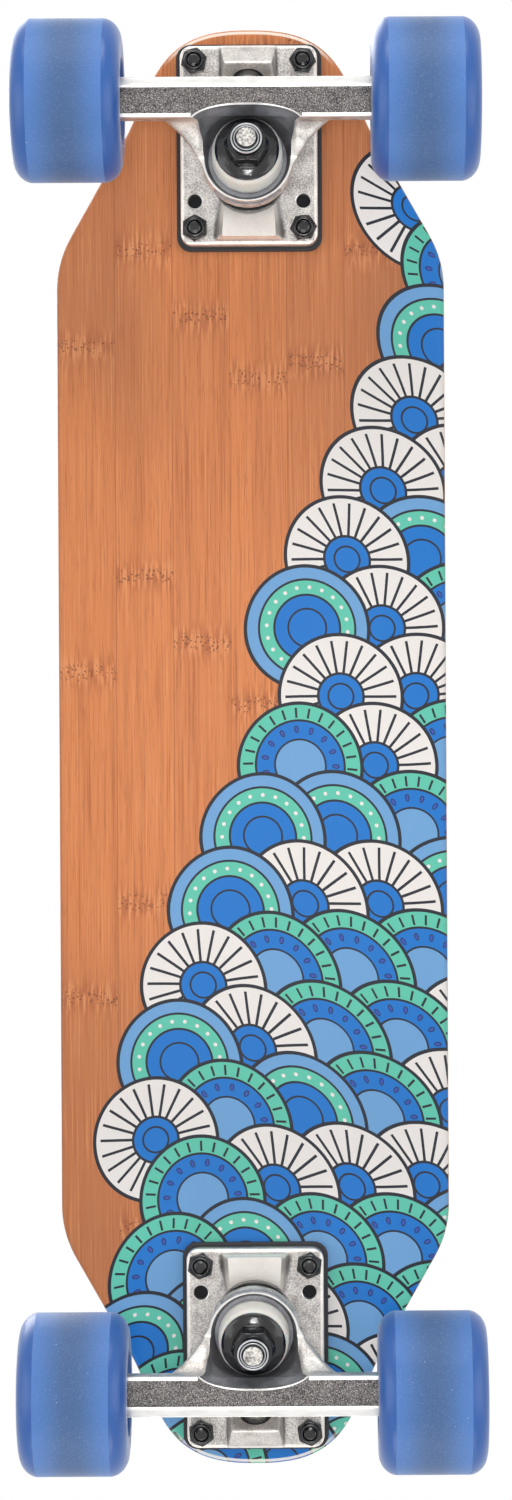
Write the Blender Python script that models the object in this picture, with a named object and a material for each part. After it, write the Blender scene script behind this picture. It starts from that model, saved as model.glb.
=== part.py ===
# Mini cruiser skateboard, standing on its wheels.
# Metres. X is the width, Y the length with the front at +Y, Z points up.
# The origin is under the middle of the board, on the ground.
import math

import bmesh
import bpy
from mathutils import Matrix, Vector

# Clearances, and how far a cutter runs past the face it cuts
SEAT_GAP = 0.0003
RUN_GAP = 0.00015
CUT_OVERRUN = 0.002

# Deck
DECK_LENGTH = 0.5498
DECK_WIDTH = 0.149
DECK_THICKNESS = 0.010
DECK_EDGE_RADIUS = 0.0026
DECK_FLAT_HALF_WIDTH = 0.0295
CONCAVE_RISE = 0.0045
NOSE_LENGTH = 0.0419
SHOULDER_LENGTH = 0.0461
SHOULDER_RADIUS = 0.040
NECK_WIDTH = 0.0956
NOSE_TAPER = 0.45
NOSE_FLOW = 6.2
NOSE_FULLNESS = 2.55

# Grip tape
GRIP_THICKNESS = 0.0009
GRIP_EDGE_MARGIN = 0.0029
GRIP_HOLE_DIAMETER = 0.0102

# Place of a truck, from the nose to its axle and from its plate to its axle
AXLE_FROM_NOSE = 0.0358
PLATE_FROM_AXLE = 0.0101
TRUCK_HEIGHT = 0.0464

# Mounting holes
BOLT_SPACING_X = 0.0413
BOLT_SPACING_Y = 0.0635
BOLT_SPARE_SPACING_Y = 0.053
BOLT_HOLE_DIAMETER = 0.0054

# Riser pad and baseplate, the margins being from a hole's middle to the plate's
# edge and from the plate's edge to the pad's
PLATE_SIDE_MARGIN = 0.0055
PLATE_END_MARGIN = 0.00625
PLATE_THICKNESS = 0.0055
PLATE_CORNER_RADIUS = 0.0045
PLATE_EDGE_CHAMFER = 0.0008
PAD_SIDE_MARGIN = 0.0016
PAD_END_MARGIN = 0.0015
PAD_THICKNESS = 0.003
PAD_CORNER_RADIUS = 0.0055

# Mounting bolts and nuts
BOLT_DIAMETER = 0.0048
BOLT_HEAD_DIAMETER = 0.0092
BOLT_HEAD_RIM = 0.0004
BOLT_HEAD_DEPTH = 0.0024
BOLT_RECESS_WIDTH = 0.0012
BOLT_RECESS_LENGTH = 0.0052
BOLT_RECESS_DEPTH = 0.0014
BOLT_TIP_CHAMFER = 0.0005
BOLT_TIP_OVER_NUT = 0.0005
MOUNT_NUT_FLATS = 0.0090
MOUNT_NUT_HEX_HEIGHT = 0.0036
MOUNT_NUT_HEIGHT = 0.0052
MOUNT_NUT_COLLAR_DIAMETER = 0.0078

# Kingpin, with its heights measured along it from the plate's top
KINGPIN_FROM_AXLE = 0.0250
KINGPIN_LEAN_DEG = 9.3
KINGPIN_DIAMETER = 0.0095
KINGPIN_HEAD_FLATS = 0.0143
KINGPIN_HEAD_START = 0.0016
KINGPIN_HEAD_HEIGHT = 0.0038
KINGPIN_TIP_OVER_NUT = 0.0015
KINGPIN_TIP_CHAMFER = 0.0011
KINGPIN_SEAT = 0.0096
KINGPIN_BOSS_DIAMETER = 0.0256
KINGPIN_BOSS_DEPTH = 0.0062

# Washers and bushings on the kingpin
WASHER_LIP_WALL = 0.0010
WASHER_LIP_DRAFT = 0.0003
LOWER_WASHER_THICKNESS = 0.0015
LOWER_WASHER_LIP = 0.0034
UPPER_WASHER_DIAMETER = 0.0240
UPPER_WASHER_THICKNESS = 0.0014
UPPER_WASHER_RIM = 0.0008
UPPER_WASHER_DOME = 0.0010
UPPER_WASHER_LAND = 0.0012
LOWER_BUSHING_END_DIAMETER = 0.0256
LOWER_BUSHING_DIAMETER = 0.0264
LOWER_BUSHING_HEIGHT = 0.0164
UPPER_BUSHING_DIAMETER = 0.0270
UPPER_BUSHING_END_DIAMETER = 0.0250
UPPER_BUSHING_HEIGHT = 0.0112
BUSHING_SHOULDER = 0.0016
KINGPIN_NUT_FLATS = 0.0143
KINGPIN_NUT_HEX_HEIGHT = 0.0072
KINGPIN_NUT_HEIGHT = 0.0104
KINGPIN_NUT_COLLAR_DIAMETER = 0.0119

# Tongue of the baseplate under the kingpin
TONGUE_FOOT_HALF_WIDTH = 0.0140
TONGUE_EDGE_HALF_WIDTH = 0.0103
TONGUE_INNER_HALF_WIDTH = 0.0080
TONGUE_INSET = 0.0004
TONGUE_LENGTH = 0.0370
TONGUE_END_DRAFT = 0.0006
TONGUE_INNER_DRAFT = 0.0020

# How deep the raised parts of the baseplate reach into it
PLATE_BURIED = 0.001

# Pivot, with its drops measured from the plate's top
PIVOT_FROM_AXLE = 0.0175
PIVOT_DROP = 0.0080
PIVOT_BALL_RADIUS = 0.0043
PIVOT_CUP_WALL = 0.0011
PIVOT_CUP_MOUTH = 0.0033
PIVOT_SOCKET_REACH = 0.012
PIVOT_BOSS_HALF_WIDTH = 0.0106
PIVOT_BOSS_TOP_HALF_WIDTH = 0.0092
PIVOT_BOSS_TOP_FROM_PIVOT = 0.0020
PIVOT_BOSS_DROP = 0.0174
PIVOT_BOSS_RIDGE = 0.0008
PIVOT_BOSS_TOE_DROP = 0.0066
PIVOT_BOSS_TOE_INSET = 0.0002

# Hanger
HANGER_LENGTH = 0.1048
BAR_FACE_DROP = 0.0070
BAR_FACE_INNER = 0.0075
BAR_FACE_OUTER = 0.0037
BAR_FACET_DROP = 0.0040
BAR_FACET_OUTER = 0.0064
BAR_OUTER = 0.0089
BAR_INNER_EDGE_RISE = 0.0013
BAR_TOP_RISE = 0.0088
BAR_TOP_HALF_WIDTH = 0.0042
BAR_TOP_EDGE_RISE = 0.0052
BAR_TOP_EDGE_INSET = 0.0008
RING_WEB_HALF_THICKNESS = 0.0020
RING_LIP_RISE = 0.0048
RING_SKIRT_DROP = 0.0040
RING_WALL = 0.0024
RING_UPPER_SEAT_ROOM = 0.0011
RING_LOWER_SEAT_ROOM = 0.0007
RING_HOLE_ROOM = 0.00285
WALL_KNEE_REACH = 0.0055
WALL_KNEE_RISE = 0.0115
WALL_TOE_REACH = 0.0015
WALL_TOE_RISE = 0.0040
WALL_BACK_RISE = 0.0170
WALL_SHOULDER = 0.0045
BOWL_HALF_WIDTH = 0.0186
BOWL_MOUTH_HALF_WIDTH = 0.0209
BOWL_ARC_DEPTH = 0.0068
BOWL_ARC_FROM_AXLE = 0.0025
BOWL_BACK_FROM_AXLE = 0.0058
BOWL_BACK_LEAN = 0.0012
BOWL_LIP_GROWTH = 0.0010
BOWL_LIP_OUTER_GROWTH = 0.0004
BOWL_WAIST_RISE = 0.0130
BOWL_WAIST_GROWTH = 0.0022
BOWL_HIP_RISE = 0.0070
BOWL_HIP_GROWTH = 0.0034
BOWL_OPEN_REACH = 0.0075
BOWL_MOUTH_OPEN_REACH = 0.0300
GUSSET_REACH = 0.0316
GUSSET_ROOT_X = 0.0125
GUSSET_EDGE_DRAFT = 0.0012
GUSSET_BEND_X = 0.0192
GUSSET_BEND_Y = 0.0130
GUSSET_END_X = 0.0130
GUSSET_END_Y = 0.0318
GUSSET_RING_ROOT_RISE = 0.0108
GUSSET_RING_EDGE_RISE = 0.0125
GUSSET_ROOT_SWEEP = 0.0150
GUSSET_EDGE_SWEEP = 0.0115
GUSSET_THICKNESS = 0.0065
GUSSET_BURIED = 0.0015
STEM_RADIUS = 0.0072
STEM_LENGTH = 0.0200
STEM_NECK = 0.0008
STEM_TAPER = 0.0060
NECK_BLOCK_HALF_WIDTH = 0.0070
NECK_BLOCK_BURIED = 0.0010
NECK_BLOCK_HEEL_HALF_WIDTH = 0.0060
NECK_BLOCK_HEEL_REACH = 0.0035
NECK_BLOCK_HEEL_RISE = 0.0042
NECK_BLOCK_TOP_HALF_WIDTH = 0.0040
NECK_BLOCK_TOP_REACH = 0.0078
NECK_BLOCK_TOP_RISE = 0.0315
NECK_BLOCK_SIDE_HALF_WIDTH = 0.0050
NECK_BLOCK_SIDE_REACH = 0.0092
NECK_BLOCK_SIDE_RISE = 0.0240

# Axle, bearings, spacers and wheels, the rooms being those of the thin washers
# at both sides of a wheel's bearings
AXLE_DIAMETER = 0.008
AXLE_CHAMFER = 0.0006
AXLE_TIP_OVER_NUT = 0.0002
INNER_WASHER_ROOM = 0.0017
OUTER_WASHER_ROOM = 0.0012
WHEEL_DIAMETER = 0.060
WHEEL_WIDTH = 0.0402
TREAD_WIDTH = 0.0278
WHEEL_FACE_RADIUS = 0.0222
WHEEL_MOUTH_RADIUS = 0.0146
WHEEL_CORE_RADIUS = 0.0095
BEARING_DIAMETER = 0.022
BEARING_WIDTH = 0.007
BEARING_SPACING = 0.010
SPACER_DIAMETER = 0.0105
AXLE_NUT_FLATS = 0.0127
AXLE_NUT_HEX_HEIGHT = 0.0042
AXLE_NUT_HEIGHT = 0.0062
AXLE_NUT_COLLAR_DIAMETER = 0.0108
NUT_COLLAR_TAPER = 0.0004

# Facets of the round pieces
WHEEL_FACETS = 24
SEAT_FACETS = 16
SMALL_FACETS = 12
BOWL_FACETS = 20
BEARING_FACETS = 16

# Heights that follow from the sizes above, from the ground up
AXLE_Z = WHEEL_DIAMETER / 2
PLATE_TOP = AXLE_Z + TRUCK_HEIGHT
PLATE_BOTTOM = PLATE_TOP - PLATE_THICKNESS
PAD_BOTTOM = PLATE_TOP + SEAT_GAP
PAD_TOP = PAD_BOTTOM + PAD_THICKNESS
DECK_BOTTOM = PAD_TOP + SEAT_GAP
DECK_TOP = DECK_BOTTOM + DECK_THICKNESS

# Places along the board
NECK_Y = DECK_LENGTH / 2 - NOSE_LENGTH
SHOULDER_Y = NECK_Y - SHOULDER_LENGTH
AXLE_Y = DECK_LENGTH / 2 - AXLE_FROM_NOSE
PLATE_CENTRE_Y = AXLE_Y - PLATE_FROM_AXLE
KINGPIN_Y = AXLE_Y - KINGPIN_FROM_AXLE
PIVOT_Y = AXLE_Y + PIVOT_FROM_AXLE
BOLT_OUTER_Y = PLATE_CENTRE_Y + BOLT_SPACING_Y / 2
BOLT_INNER_Y = PLATE_CENTRE_Y - BOLT_SPACING_Y / 2
BOLT_SPARE_Y = BOLT_OUTER_Y - BOLT_SPARE_SPACING_Y

# Outlines of the baseplate and of the pad behind it
PLATE_WIDTH = BOLT_SPACING_X + 2 * PLATE_SIDE_MARGIN
PLATE_LENGTH = BOLT_SPACING_Y + 2 * PLATE_END_MARGIN
PAD_WIDTH = PLATE_WIDTH + 2 * PAD_SIDE_MARGIN
PAD_LENGTH = PLATE_LENGTH + 2 * PAD_END_MARGIN

# The stack on the kingpin, each height measured along the pin
LOWER_BUSHING_START = KINGPIN_SEAT + LOWER_WASHER_THICKNESS + 2 * SEAT_GAP
LOWER_BUSHING_END = LOWER_BUSHING_START + LOWER_BUSHING_HEIGHT
RING_CENTRE = LOWER_BUSHING_END + SEAT_GAP + RING_WEB_HALF_THICKNESS
UPPER_BUSHING_START = RING_CENTRE + RING_WEB_HALF_THICKNESS + SEAT_GAP
UPPER_WASHER_START = UPPER_BUSHING_START + UPPER_BUSHING_HEIGHT + SEAT_GAP
KINGPIN_NUT_START = UPPER_WASHER_START + UPPER_WASHER_THICKNESS + UPPER_WASHER_DOME + SEAT_GAP
KINGPIN_TIP = KINGPIN_NUT_START + KINGPIN_NUT_HEIGHT + KINGPIN_TIP_OVER_NUT

# Radii of the hanger's ring and of the washer under it, round the bushings
RING_UPPER_SEAT_RADIUS = UPPER_BUSHING_DIAMETER / 2 + RING_UPPER_SEAT_ROOM
RING_LOWER_SEAT_RADIUS = LOWER_BUSHING_DIAMETER / 2 + RING_LOWER_SEAT_ROOM
RING_HOLE_RADIUS = KINGPIN_DIAMETER / 2 + RING_HOLE_ROOM
RING_RADIUS = RING_UPPER_SEAT_RADIUS + RING_WALL
LOWER_WASHER_INNER_RADIUS = LOWER_BUSHING_END_DIAMETER / 2 + SEAT_GAP
LOWER_WASHER_RADIUS = LOWER_WASHER_INNER_RADIUS + WASHER_LIP_DRAFT + WASHER_LIP_WALL

# Places along the axle
BEARINGS_HALF_WIDTH = BEARING_SPACING / 2 + BEARING_WIDTH
WHEEL_CENTRE_X = HANGER_LENGTH / 2 + INNER_WASHER_ROOM + BEARINGS_HALF_WIDTH
AXLE_NUT_X = WHEEL_CENTRE_X + BEARINGS_HALF_WIDTH + OUTER_WASHER_ROOM
AXLE_HALF_LENGTH = AXLE_NUT_X + AXLE_NUT_HEIGHT + AXLE_TIP_OVER_NUT

# The kingpin frame has its origin on the plate's top and its Z along the pin
LEAN = math.radians(KINGPIN_LEAN_DEG)
KINGPIN_FRAME = (
    Matrix.Translation((0.0, KINGPIN_Y, PLATE_TOP))
    @ Matrix.Rotation(math.pi + LEAN, 4, "X")
)
RING_POINT = KINGPIN_FRAME @ Vector((0.0, 0.0, RING_CENTRE))
PIVOT_POINT = Vector((0.0, PIVOT_Y, PLATE_TOP - PIVOT_DROP))
STEER_AXIS = (RING_POINT - PIVOT_POINT).normalized()

# The pivot frame has its origin in the pivot ball and its Z along the steering axis
PIVOT_FRAME = (
    Matrix.Translation(PIVOT_POINT)
    @ STEER_AXIS.to_track_quat("Z", "Y").to_matrix().to_4x4()
)


def clear_scene():
    for old in list(bpy.data.objects):
        bpy.data.objects.remove(old, do_unlink=True)


def srgb(red, green, blue):
    """Give a linear colour from the 0 to 255 values seen on a screen."""
    values = []
    for value in (red, green, blue):
        part = value / 255
        if part <= 0.04045:
            values.append(part / 12.92)
        else:
            values.append(((part + 0.055) / 1.055) ** 2.4)
    return (values[0], values[1], values[2], 1.0)


def make_material(name, colour, roughness, metallic=0.0):
    material = bpy.data.materials.new(name)
    material.use_nodes = True
    shader = material.node_tree.nodes["Principled BSDF"]
    shader.inputs["Base Color"].default_value = colour
    shader.inputs["Roughness"].default_value = roughness
    shader.inputs["Metallic"].default_value = metallic
    material.diffuse_color = colour
    return material


def finish_mesh(bm, name):
    bmesh.ops.recalc_face_normals(bm, faces=bm.faces)
    mesh = bpy.data.meshes.new(name)
    bm.to_mesh(mesh)
    bm.free()
    return mesh


def hex_radius(flats, angle):
    """Distance from the middle of a hexagon to its edge at an angle."""
    sector = (angle + math.pi / 6) % (math.pi / 3) - math.pi / 6
    return flats / 2 / math.cos(math.pi / 6 - abs(sector))


def flat_radius(radius, facets):
    """Corner radius of a polygon whose flats lie at the given radius."""
    return radius / math.cos(math.pi / facets)


def lathe(name, loops, facets, hollow=False, turn=0.0):
    """Stack loops along Z. Each loop is a height, a size and round or hex.

    A round size is the corner radius, a hex size the distance over its flats.
    A hollow piece joins its last loop to its first, a solid one is capped.
    """
    bm = bmesh.new()
    rings = []
    for height, size, shape in loops:
        ring = []
        for step in range(facets):
            angle = 2 * math.pi * step / facets
            radius = hex_radius(size, angle) if shape == "hex" else size
            angle += turn
            ring.append(bm.verts.new((radius * math.cos(angle), radius * math.sin(angle), height)))
        rings.append(ring)
    pairs = list(zip(rings, rings[1:]))
    if hollow:
        pairs.append((rings[-1], rings[0]))
    for low, high in pairs:
        for step in range(facets):
            after = (step + 1) % facets
            bm.faces.new((low[step], low[after], high[after], high[step]))
    if not hollow:
        bm.faces.new(list(reversed(rings[0])))
        bm.faces.new(rings[-1])
    return finish_mesh(bm, name)


def slab(name, outline, low, high):
    """Extrude an outline of X and Y points between two heights."""
    bm = bmesh.new()
    bottom = [bm.verts.new((x, y, low)) for x, y in outline]
    top = [bm.verts.new((x, y, high)) for x, y in outline]
    count = len(outline)
    for step in range(count):
        after = (step + 1) % count
        bm.faces.new((bottom[step], bottom[after], top[after], top[step]))
    bm.faces.new(list(reversed(bottom)))
    bm.faces.new(top)
    return finish_mesh(bm, name)


def side_prism(name, profile):
    """Extrude a side view along X. Each point is Y, Z and its half width."""
    bm = bmesh.new()
    left = [bm.verts.new((-half, y, z)) for y, z, half in profile]
    right = [bm.verts.new((half, y, z)) for y, z, half in profile]
    count = len(profile)
    for step in range(count):
        after = (step + 1) % count
        bm.faces.new((left[step], left[after], right[after], right[step]))
    bm.faces.new(list(reversed(left)))
    bm.faces.new(right)
    bmesh.ops.triangulate(bm, faces=bm.faces)
    return finish_mesh(bm, name)


def tool(mesh, matrix=None):
    """Give a mesh a scratch object for a Boolean."""
    obj = bpy.data.objects.new(mesh.name, mesh)
    bpy.context.scene.collection.objects.link(obj)
    if matrix is not None:
        mesh.transform(matrix)
    return obj


def combine(name, base, steps):
    """Run Boolean steps on a base object and give back the finished mesh."""
    for operation, other in steps:
        modifier = base.modifiers.new(operation, "BOOLEAN")
        modifier.operation = operation
        modifier.solver = "EXACT"
        modifier.object = other
        other.hide_render = True
        other.display_type = "WIRE"
    bpy.context.view_layer.update()
    view = bpy.context.evaluated_depsgraph_get()
    mesh = bpy.data.meshes.new_from_object(base.evaluated_get(view))
    mesh.name = name
    for _, other in steps:
        bpy.data.objects.remove(other, do_unlink=True)
    bpy.data.objects.remove(base, do_unlink=True)
    return mesh


def shade(mesh, angle_deg=35.0):
    mesh.shade_smooth()
    mesh.set_sharp_from_angle(angle=math.radians(angle_deg))


def add_part(name, mesh, material, parent=None, matrix=None):
    obj = bpy.data.objects.new(name, mesh)
    bpy.context.scene.collection.objects.link(obj)
    if not mesh.materials:
        mesh.materials.append(material)
    if parent is not None:
        obj.parent = parent
    if matrix is not None:
        obj.matrix_local = matrix
    return obj


def add_empty(name, parent=None, matrix=None):
    empty = bpy.data.objects.new(name, None)
    empty.empty_display_size = 0.02
    bpy.context.scene.collection.objects.link(empty)
    if parent is not None:
        empty.parent = parent
    if matrix is not None:
        empty.matrix_local = matrix
    return empty


def rounded_rectangle(width, length, radius, centre_y, steps):
    points = []
    corners = ((1, 1, 0), (-1, 1, 90), (-1, -1, 180), (1, -1, 270))
    for side_x, side_y, start in corners:
        middle_x = side_x * (width / 2 - radius)
        middle_y = centre_y + side_y * (length / 2 - radius)
        for step in range(steps + 1):
            angle = math.radians(start + 90 * step / steps)
            x = middle_x + radius * math.cos(angle)
            y = middle_y + radius * math.sin(angle)
            points.append((x, y))
    return points


# Deck outline
def nose_half_width(y):
    """Half width of the nose, whose straight sides are rounded off at its tip."""
    reach = (y - NECK_Y) / (DECK_LENGTH / 2 - NECK_Y)
    side = NECK_WIDTH / 2 - NOSE_TAPER * (y - NECK_Y)
    return side * (1 - reach ** NOSE_FLOW) ** (1 / NOSE_FULLNESS)


def nose_y(x):
    """Y at which the nose is as wide as a place across it, found by halving."""
    low = NECK_Y
    high = DECK_LENGTH / 2
    halvings = 40
    for _ in range(halvings):
        middle = (low + high) / 2
        if nose_half_width(middle) > abs(x):
            low = middle
        else:
            high = middle
    return high


def deck_half_rows():
    """Y and half width from the middle of the deck to its nose."""
    half = DECK_WIDTH / 2
    slant = math.atan2(half - NECK_WIDTH / 2, NECK_Y - SHOULDER_Y)
    tangent = SHOULDER_RADIUS * math.tan(slant / 2)
    rows = [(0.0, half)]
    arc_steps = 4
    for step in range(arc_steps + 1):
        angle = slant * step / arc_steps
        y = SHOULDER_Y - tangent + SHOULDER_RADIUS * math.sin(angle)
        x = half - SHOULDER_RADIUS * (1 - math.cos(angle))
        rows.append((y, x))
    rows.append((NECK_Y, NECK_WIDTH / 2))
    for reach in (0.30, 0.55, 0.72, 0.83, 0.905, 0.95, 0.98):
        y = NECK_Y + reach * (DECK_LENGTH / 2 - NECK_Y)
        rows.append((y, nose_half_width(y)))
    return rows


def deck_columns(half):
    """X places across one row, closer together where the deck curves up."""
    flat = min(DECK_FLAT_HALF_WIDTH, half * 0.62)
    bend = half - flat
    right = [flat, flat + bend * 0.55, half]
    return [-x for x in reversed(right)] + [0.0] + right


def deck_grid():
    """Rows of points over the whole deck, from the rear nose to the front one."""
    front = []
    for y, half in deck_half_rows():
        front.append([(x, y) for x in deck_columns(half)])
    tip_half = front[-1][-1][0] * 0.60
    front.append([(x, nose_y(x)) for x in deck_columns(tip_half)])
    rear = [[(x, -y) for x, y in row] for row in reversed(front[1:])]
    return rear + front


def grid_border(grid):
    """Row and column of each border point, counter-clockwise."""
    rows = len(grid)
    columns = len(grid[0])
    border = [(0, column) for column in range(columns)]
    border += [(row, columns - 1) for row in range(1, rows)]
    border += [(rows - 1, column) for column in range(columns - 2, -1, -1)]
    border += [(row, 0) for row in range(rows - 2, 0, -1)]
    return border


def inset_border(grid, distance):
    """Move the border inwards along its normals and spread the rows again."""
    border = grid_border(grid)
    count = len(border)
    moved = {}
    for step in range(count):
        before = Vector(grid[border[step - 1][0]][border[step - 1][1]])
        here = Vector(grid[border[step][0]][border[step][1]])
        after_index = border[(step + 1) % count]
        after = Vector(grid[after_index[0]][after_index[1]])
        first = (here - before).normalized()
        second = (after - here).normalized()
        inward = Vector((-first.y - second.y, first.x + second.x)).normalized()
        stretch = inward.dot(Vector((-first.y, first.x)))
        moved[border[step]] = here + inward * distance / stretch
    result = []
    last = len(grid) - 1
    for row, points in enumerate(grid):
        if row in (0, last):
            result.append([tuple(moved[(row, column)]) for column in range(len(points))])
            continue
        right = moved[(row, len(points) - 1)]
        result.append([(x, right.y) for x in deck_columns(right.x)])
    return result


def concave(x):
    """Rise of the deck towards its long edges."""
    bend = max(0.0, abs(x) - DECK_FLAT_HALF_WIDTH)
    return CONCAVE_RISE * (bend / (DECK_WIDTH / 2 - DECK_FLAT_HALF_WIDTH)) ** 2


def shell_mesh(name, layers):
    """Close a solid from border layers, each an inset and a height."""
    bm = bmesh.new()
    base = deck_grid()
    border = grid_border(base)
    sheets = []
    for number, (inset, height) in enumerate(layers):
        grid = inset_border(base, inset)
        whole = number in (0, len(layers) - 1)
        places = {}
        for row, points in enumerate(grid):
            for column, (x, y) in enumerate(points):
                if whole or (row, column) in border:
                    places[(row, column)] = bm.verts.new((x, y, height + concave(x)))
        sheets.append(places)
    for low, high in zip(sheets, sheets[1:]):
        for step, here in enumerate(border):
            after = border[(step + 1) % len(border)]
            bm.faces.new((low[here], low[after], high[after], high[here]))
    for sheet in (sheets[0], sheets[-1]):
        for row in range(len(base) - 1):
            for column in range(len(base[0]) - 1):
                corners = ((row, column), (row, column + 1), (row + 1, column + 1), (row + 1, column))
                bm.faces.new([sheet[corner] for corner in corners])
    return finish_mesh(bm, name)


def bolt_places():
    """X and Y of the eight mounting bolts."""
    places = []
    for end in (1, -1):
        for side in (-1, 1):
            for y in (BOLT_OUTER_Y, BOLT_INNER_Y):
                places.append((side * end * BOLT_SPACING_X / 2, end * y))
    return places


def deck_mesh():
    radius = DECK_EDGE_RADIUS
    soft = radius * (1 - math.sqrt(0.5))
    layers = [
        (radius, DECK_BOTTOM),
        (soft, DECK_BOTTOM + soft),
        (0.0, DECK_BOTTOM + radius),
        (0.0, DECK_TOP - radius),
        (soft, DECK_TOP - soft),
        (radius, DECK_TOP),
    ]
    base = tool(shell_mesh("deck_blank", layers))
    steps = []
    head = BOLT_HEAD_DIAMETER / 2 + SEAT_GAP
    shank = BOLT_HOLE_DIAMETER / 2
    for x, y in bolt_places():
        loops = [
            (DECK_BOTTOM - CUT_OVERRUN, shank, "round"),
            (DECK_TOP - BOLT_HEAD_DEPTH - SEAT_GAP, shank, "round"),
            (DECK_TOP - BOLT_HEAD_RIM, head, "round"),
            (DECK_TOP + CUT_OVERRUN, head, "round"),
        ]
        drill = tool(lathe("drill", loops, SMALL_FACETS), Matrix.Translation((x, y, 0.0)))
        steps.append(("DIFFERENCE", drill))
    return combine("deck", base, steps)


def grip_mesh():
    low = DECK_TOP + SEAT_GAP
    layers = [(GRIP_EDGE_MARGIN, low), (GRIP_EDGE_MARGIN, low + GRIP_THICKNESS)]
    base = tool(shell_mesh("grip_blank", layers))
    steps = []
    for x, y in bolt_places():
        loops = [
            (low - CUT_OVERRUN, GRIP_HOLE_DIAMETER / 2, "round"),
            (low + GRIP_THICKNESS + CUT_OVERRUN, GRIP_HOLE_DIAMETER / 2, "round"),
        ]
        punch = tool(lathe("punch", loops, SMALL_FACETS), Matrix.Translation((x, y, 0.0)))
        steps.append(("DIFFERENCE", punch))
    return combine("grip_tape", base, steps)


# Fixed half of a truck, in the place of the front one
def hole_cutters(rows, low, high):
    steps = []
    for y in rows:
        for side in (-1, 1):
            loops = [
                (low, BOLT_HOLE_DIAMETER / 2, "round"),
                (high, BOLT_HOLE_DIAMETER / 2, "round"),
            ]
            place = Matrix.Translation((side * BOLT_SPACING_X / 2, y, 0.0))
            steps.append(("DIFFERENCE", tool(lathe("drill", loops, SMALL_FACETS), place)))
    return steps


def pad_mesh():
    outline = rounded_rectangle(PAD_WIDTH, PAD_LENGTH, PAD_CORNER_RADIUS, PLATE_CENTRE_Y, 4)
    base = tool(slab("pad_blank", outline, PAD_BOTTOM, PAD_TOP))
    rows = (BOLT_OUTER_Y, BOLT_INNER_Y)
    holes = hole_cutters(rows, PAD_BOTTOM - CUT_OVERRUN, PAD_TOP + CUT_OVERRUN)
    return combine("riser_pad", base, holes)


def seat_z(y):
    """Height of the kingpin's tilted seat plane at a place along Y."""
    drop = (KINGPIN_SEAT - (y - KINGPIN_Y) * math.sin(LEAN)) / math.cos(LEAN)
    return PLATE_TOP - drop


def plate_blank():
    chamfer = PLATE_EDGE_CHAMFER
    bm = bmesh.new()
    rings = []
    layers = ((0.0, PLATE_TOP), (0.0, PLATE_BOTTOM + chamfer), (chamfer, PLATE_BOTTOM))
    for inset, z in layers:
        outline = rounded_rectangle(
            PLATE_WIDTH - 2 * inset,
            PLATE_LENGTH - 2 * inset,
            PLATE_CORNER_RADIUS - inset,
            PLATE_CENTRE_Y,
            4,
        )
        rings.append([bm.verts.new((x, y, z)) for x, y in outline])
    count = len(rings[0])
    for low, high in zip(rings, rings[1:]):
        for step in range(count):
            after = (step + 1) % count
            bm.faces.new((low[step], low[after], high[after], high[step]))
    bm.faces.new(rings[0])
    bm.faces.new(rings[-1])
    return finish_mesh(bm, "plate_blank")


def tongue_blank():
    start = PLATE_CENTRE_Y - PLATE_LENGTH / 2 + TONGUE_INSET
    stop = start + TONGUE_LENGTH
    buried = PLATE_BOTTOM + PLATE_BURIED
    foot = TONGUE_FOOT_HALF_WIDTH
    profile = [
        (start, buried, foot),
        (start + TONGUE_END_DRAFT, seat_z(start), TONGUE_EDGE_HALF_WIDTH),
        (stop, seat_z(stop), TONGUE_INNER_HALF_WIDTH),
        (stop + TONGUE_INNER_DRAFT, buried, foot),
    ]
    return side_prism("tongue", profile)


def pivot_boss_blank():
    """Boss whose inner face stands square to the steering axis."""
    toe = PLATE_CENTRE_Y + PLATE_LENGTH / 2 - PIVOT_BOSS_TOE_INSET
    buried = PLATE_BOTTOM + PLATE_BURIED
    wide = PIVOT_BOSS_HALF_WIDTH
    narrow = PIVOT_BOSS_TOP_HALF_WIDTH
    top = PLATE_TOP - PIVOT_BOSS_DROP
    outer = PIVOT_Y + PIVOT_BOSS_TOP_FROM_PIVOT
    inner = outer - PIVOT_BOSS_RIDGE
    slant = (buried - top) * STEER_AXIS.z / STEER_AXIS.y
    profile = [
        (toe, buried, wide),
        (toe, PLATE_TOP - PIVOT_BOSS_TOE_DROP, wide),
        (outer, top, narrow),
        (inner, top, narrow),
        (inner - slant, buried, wide),
    ]
    return side_prism("pivot_boss", profile)


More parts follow.
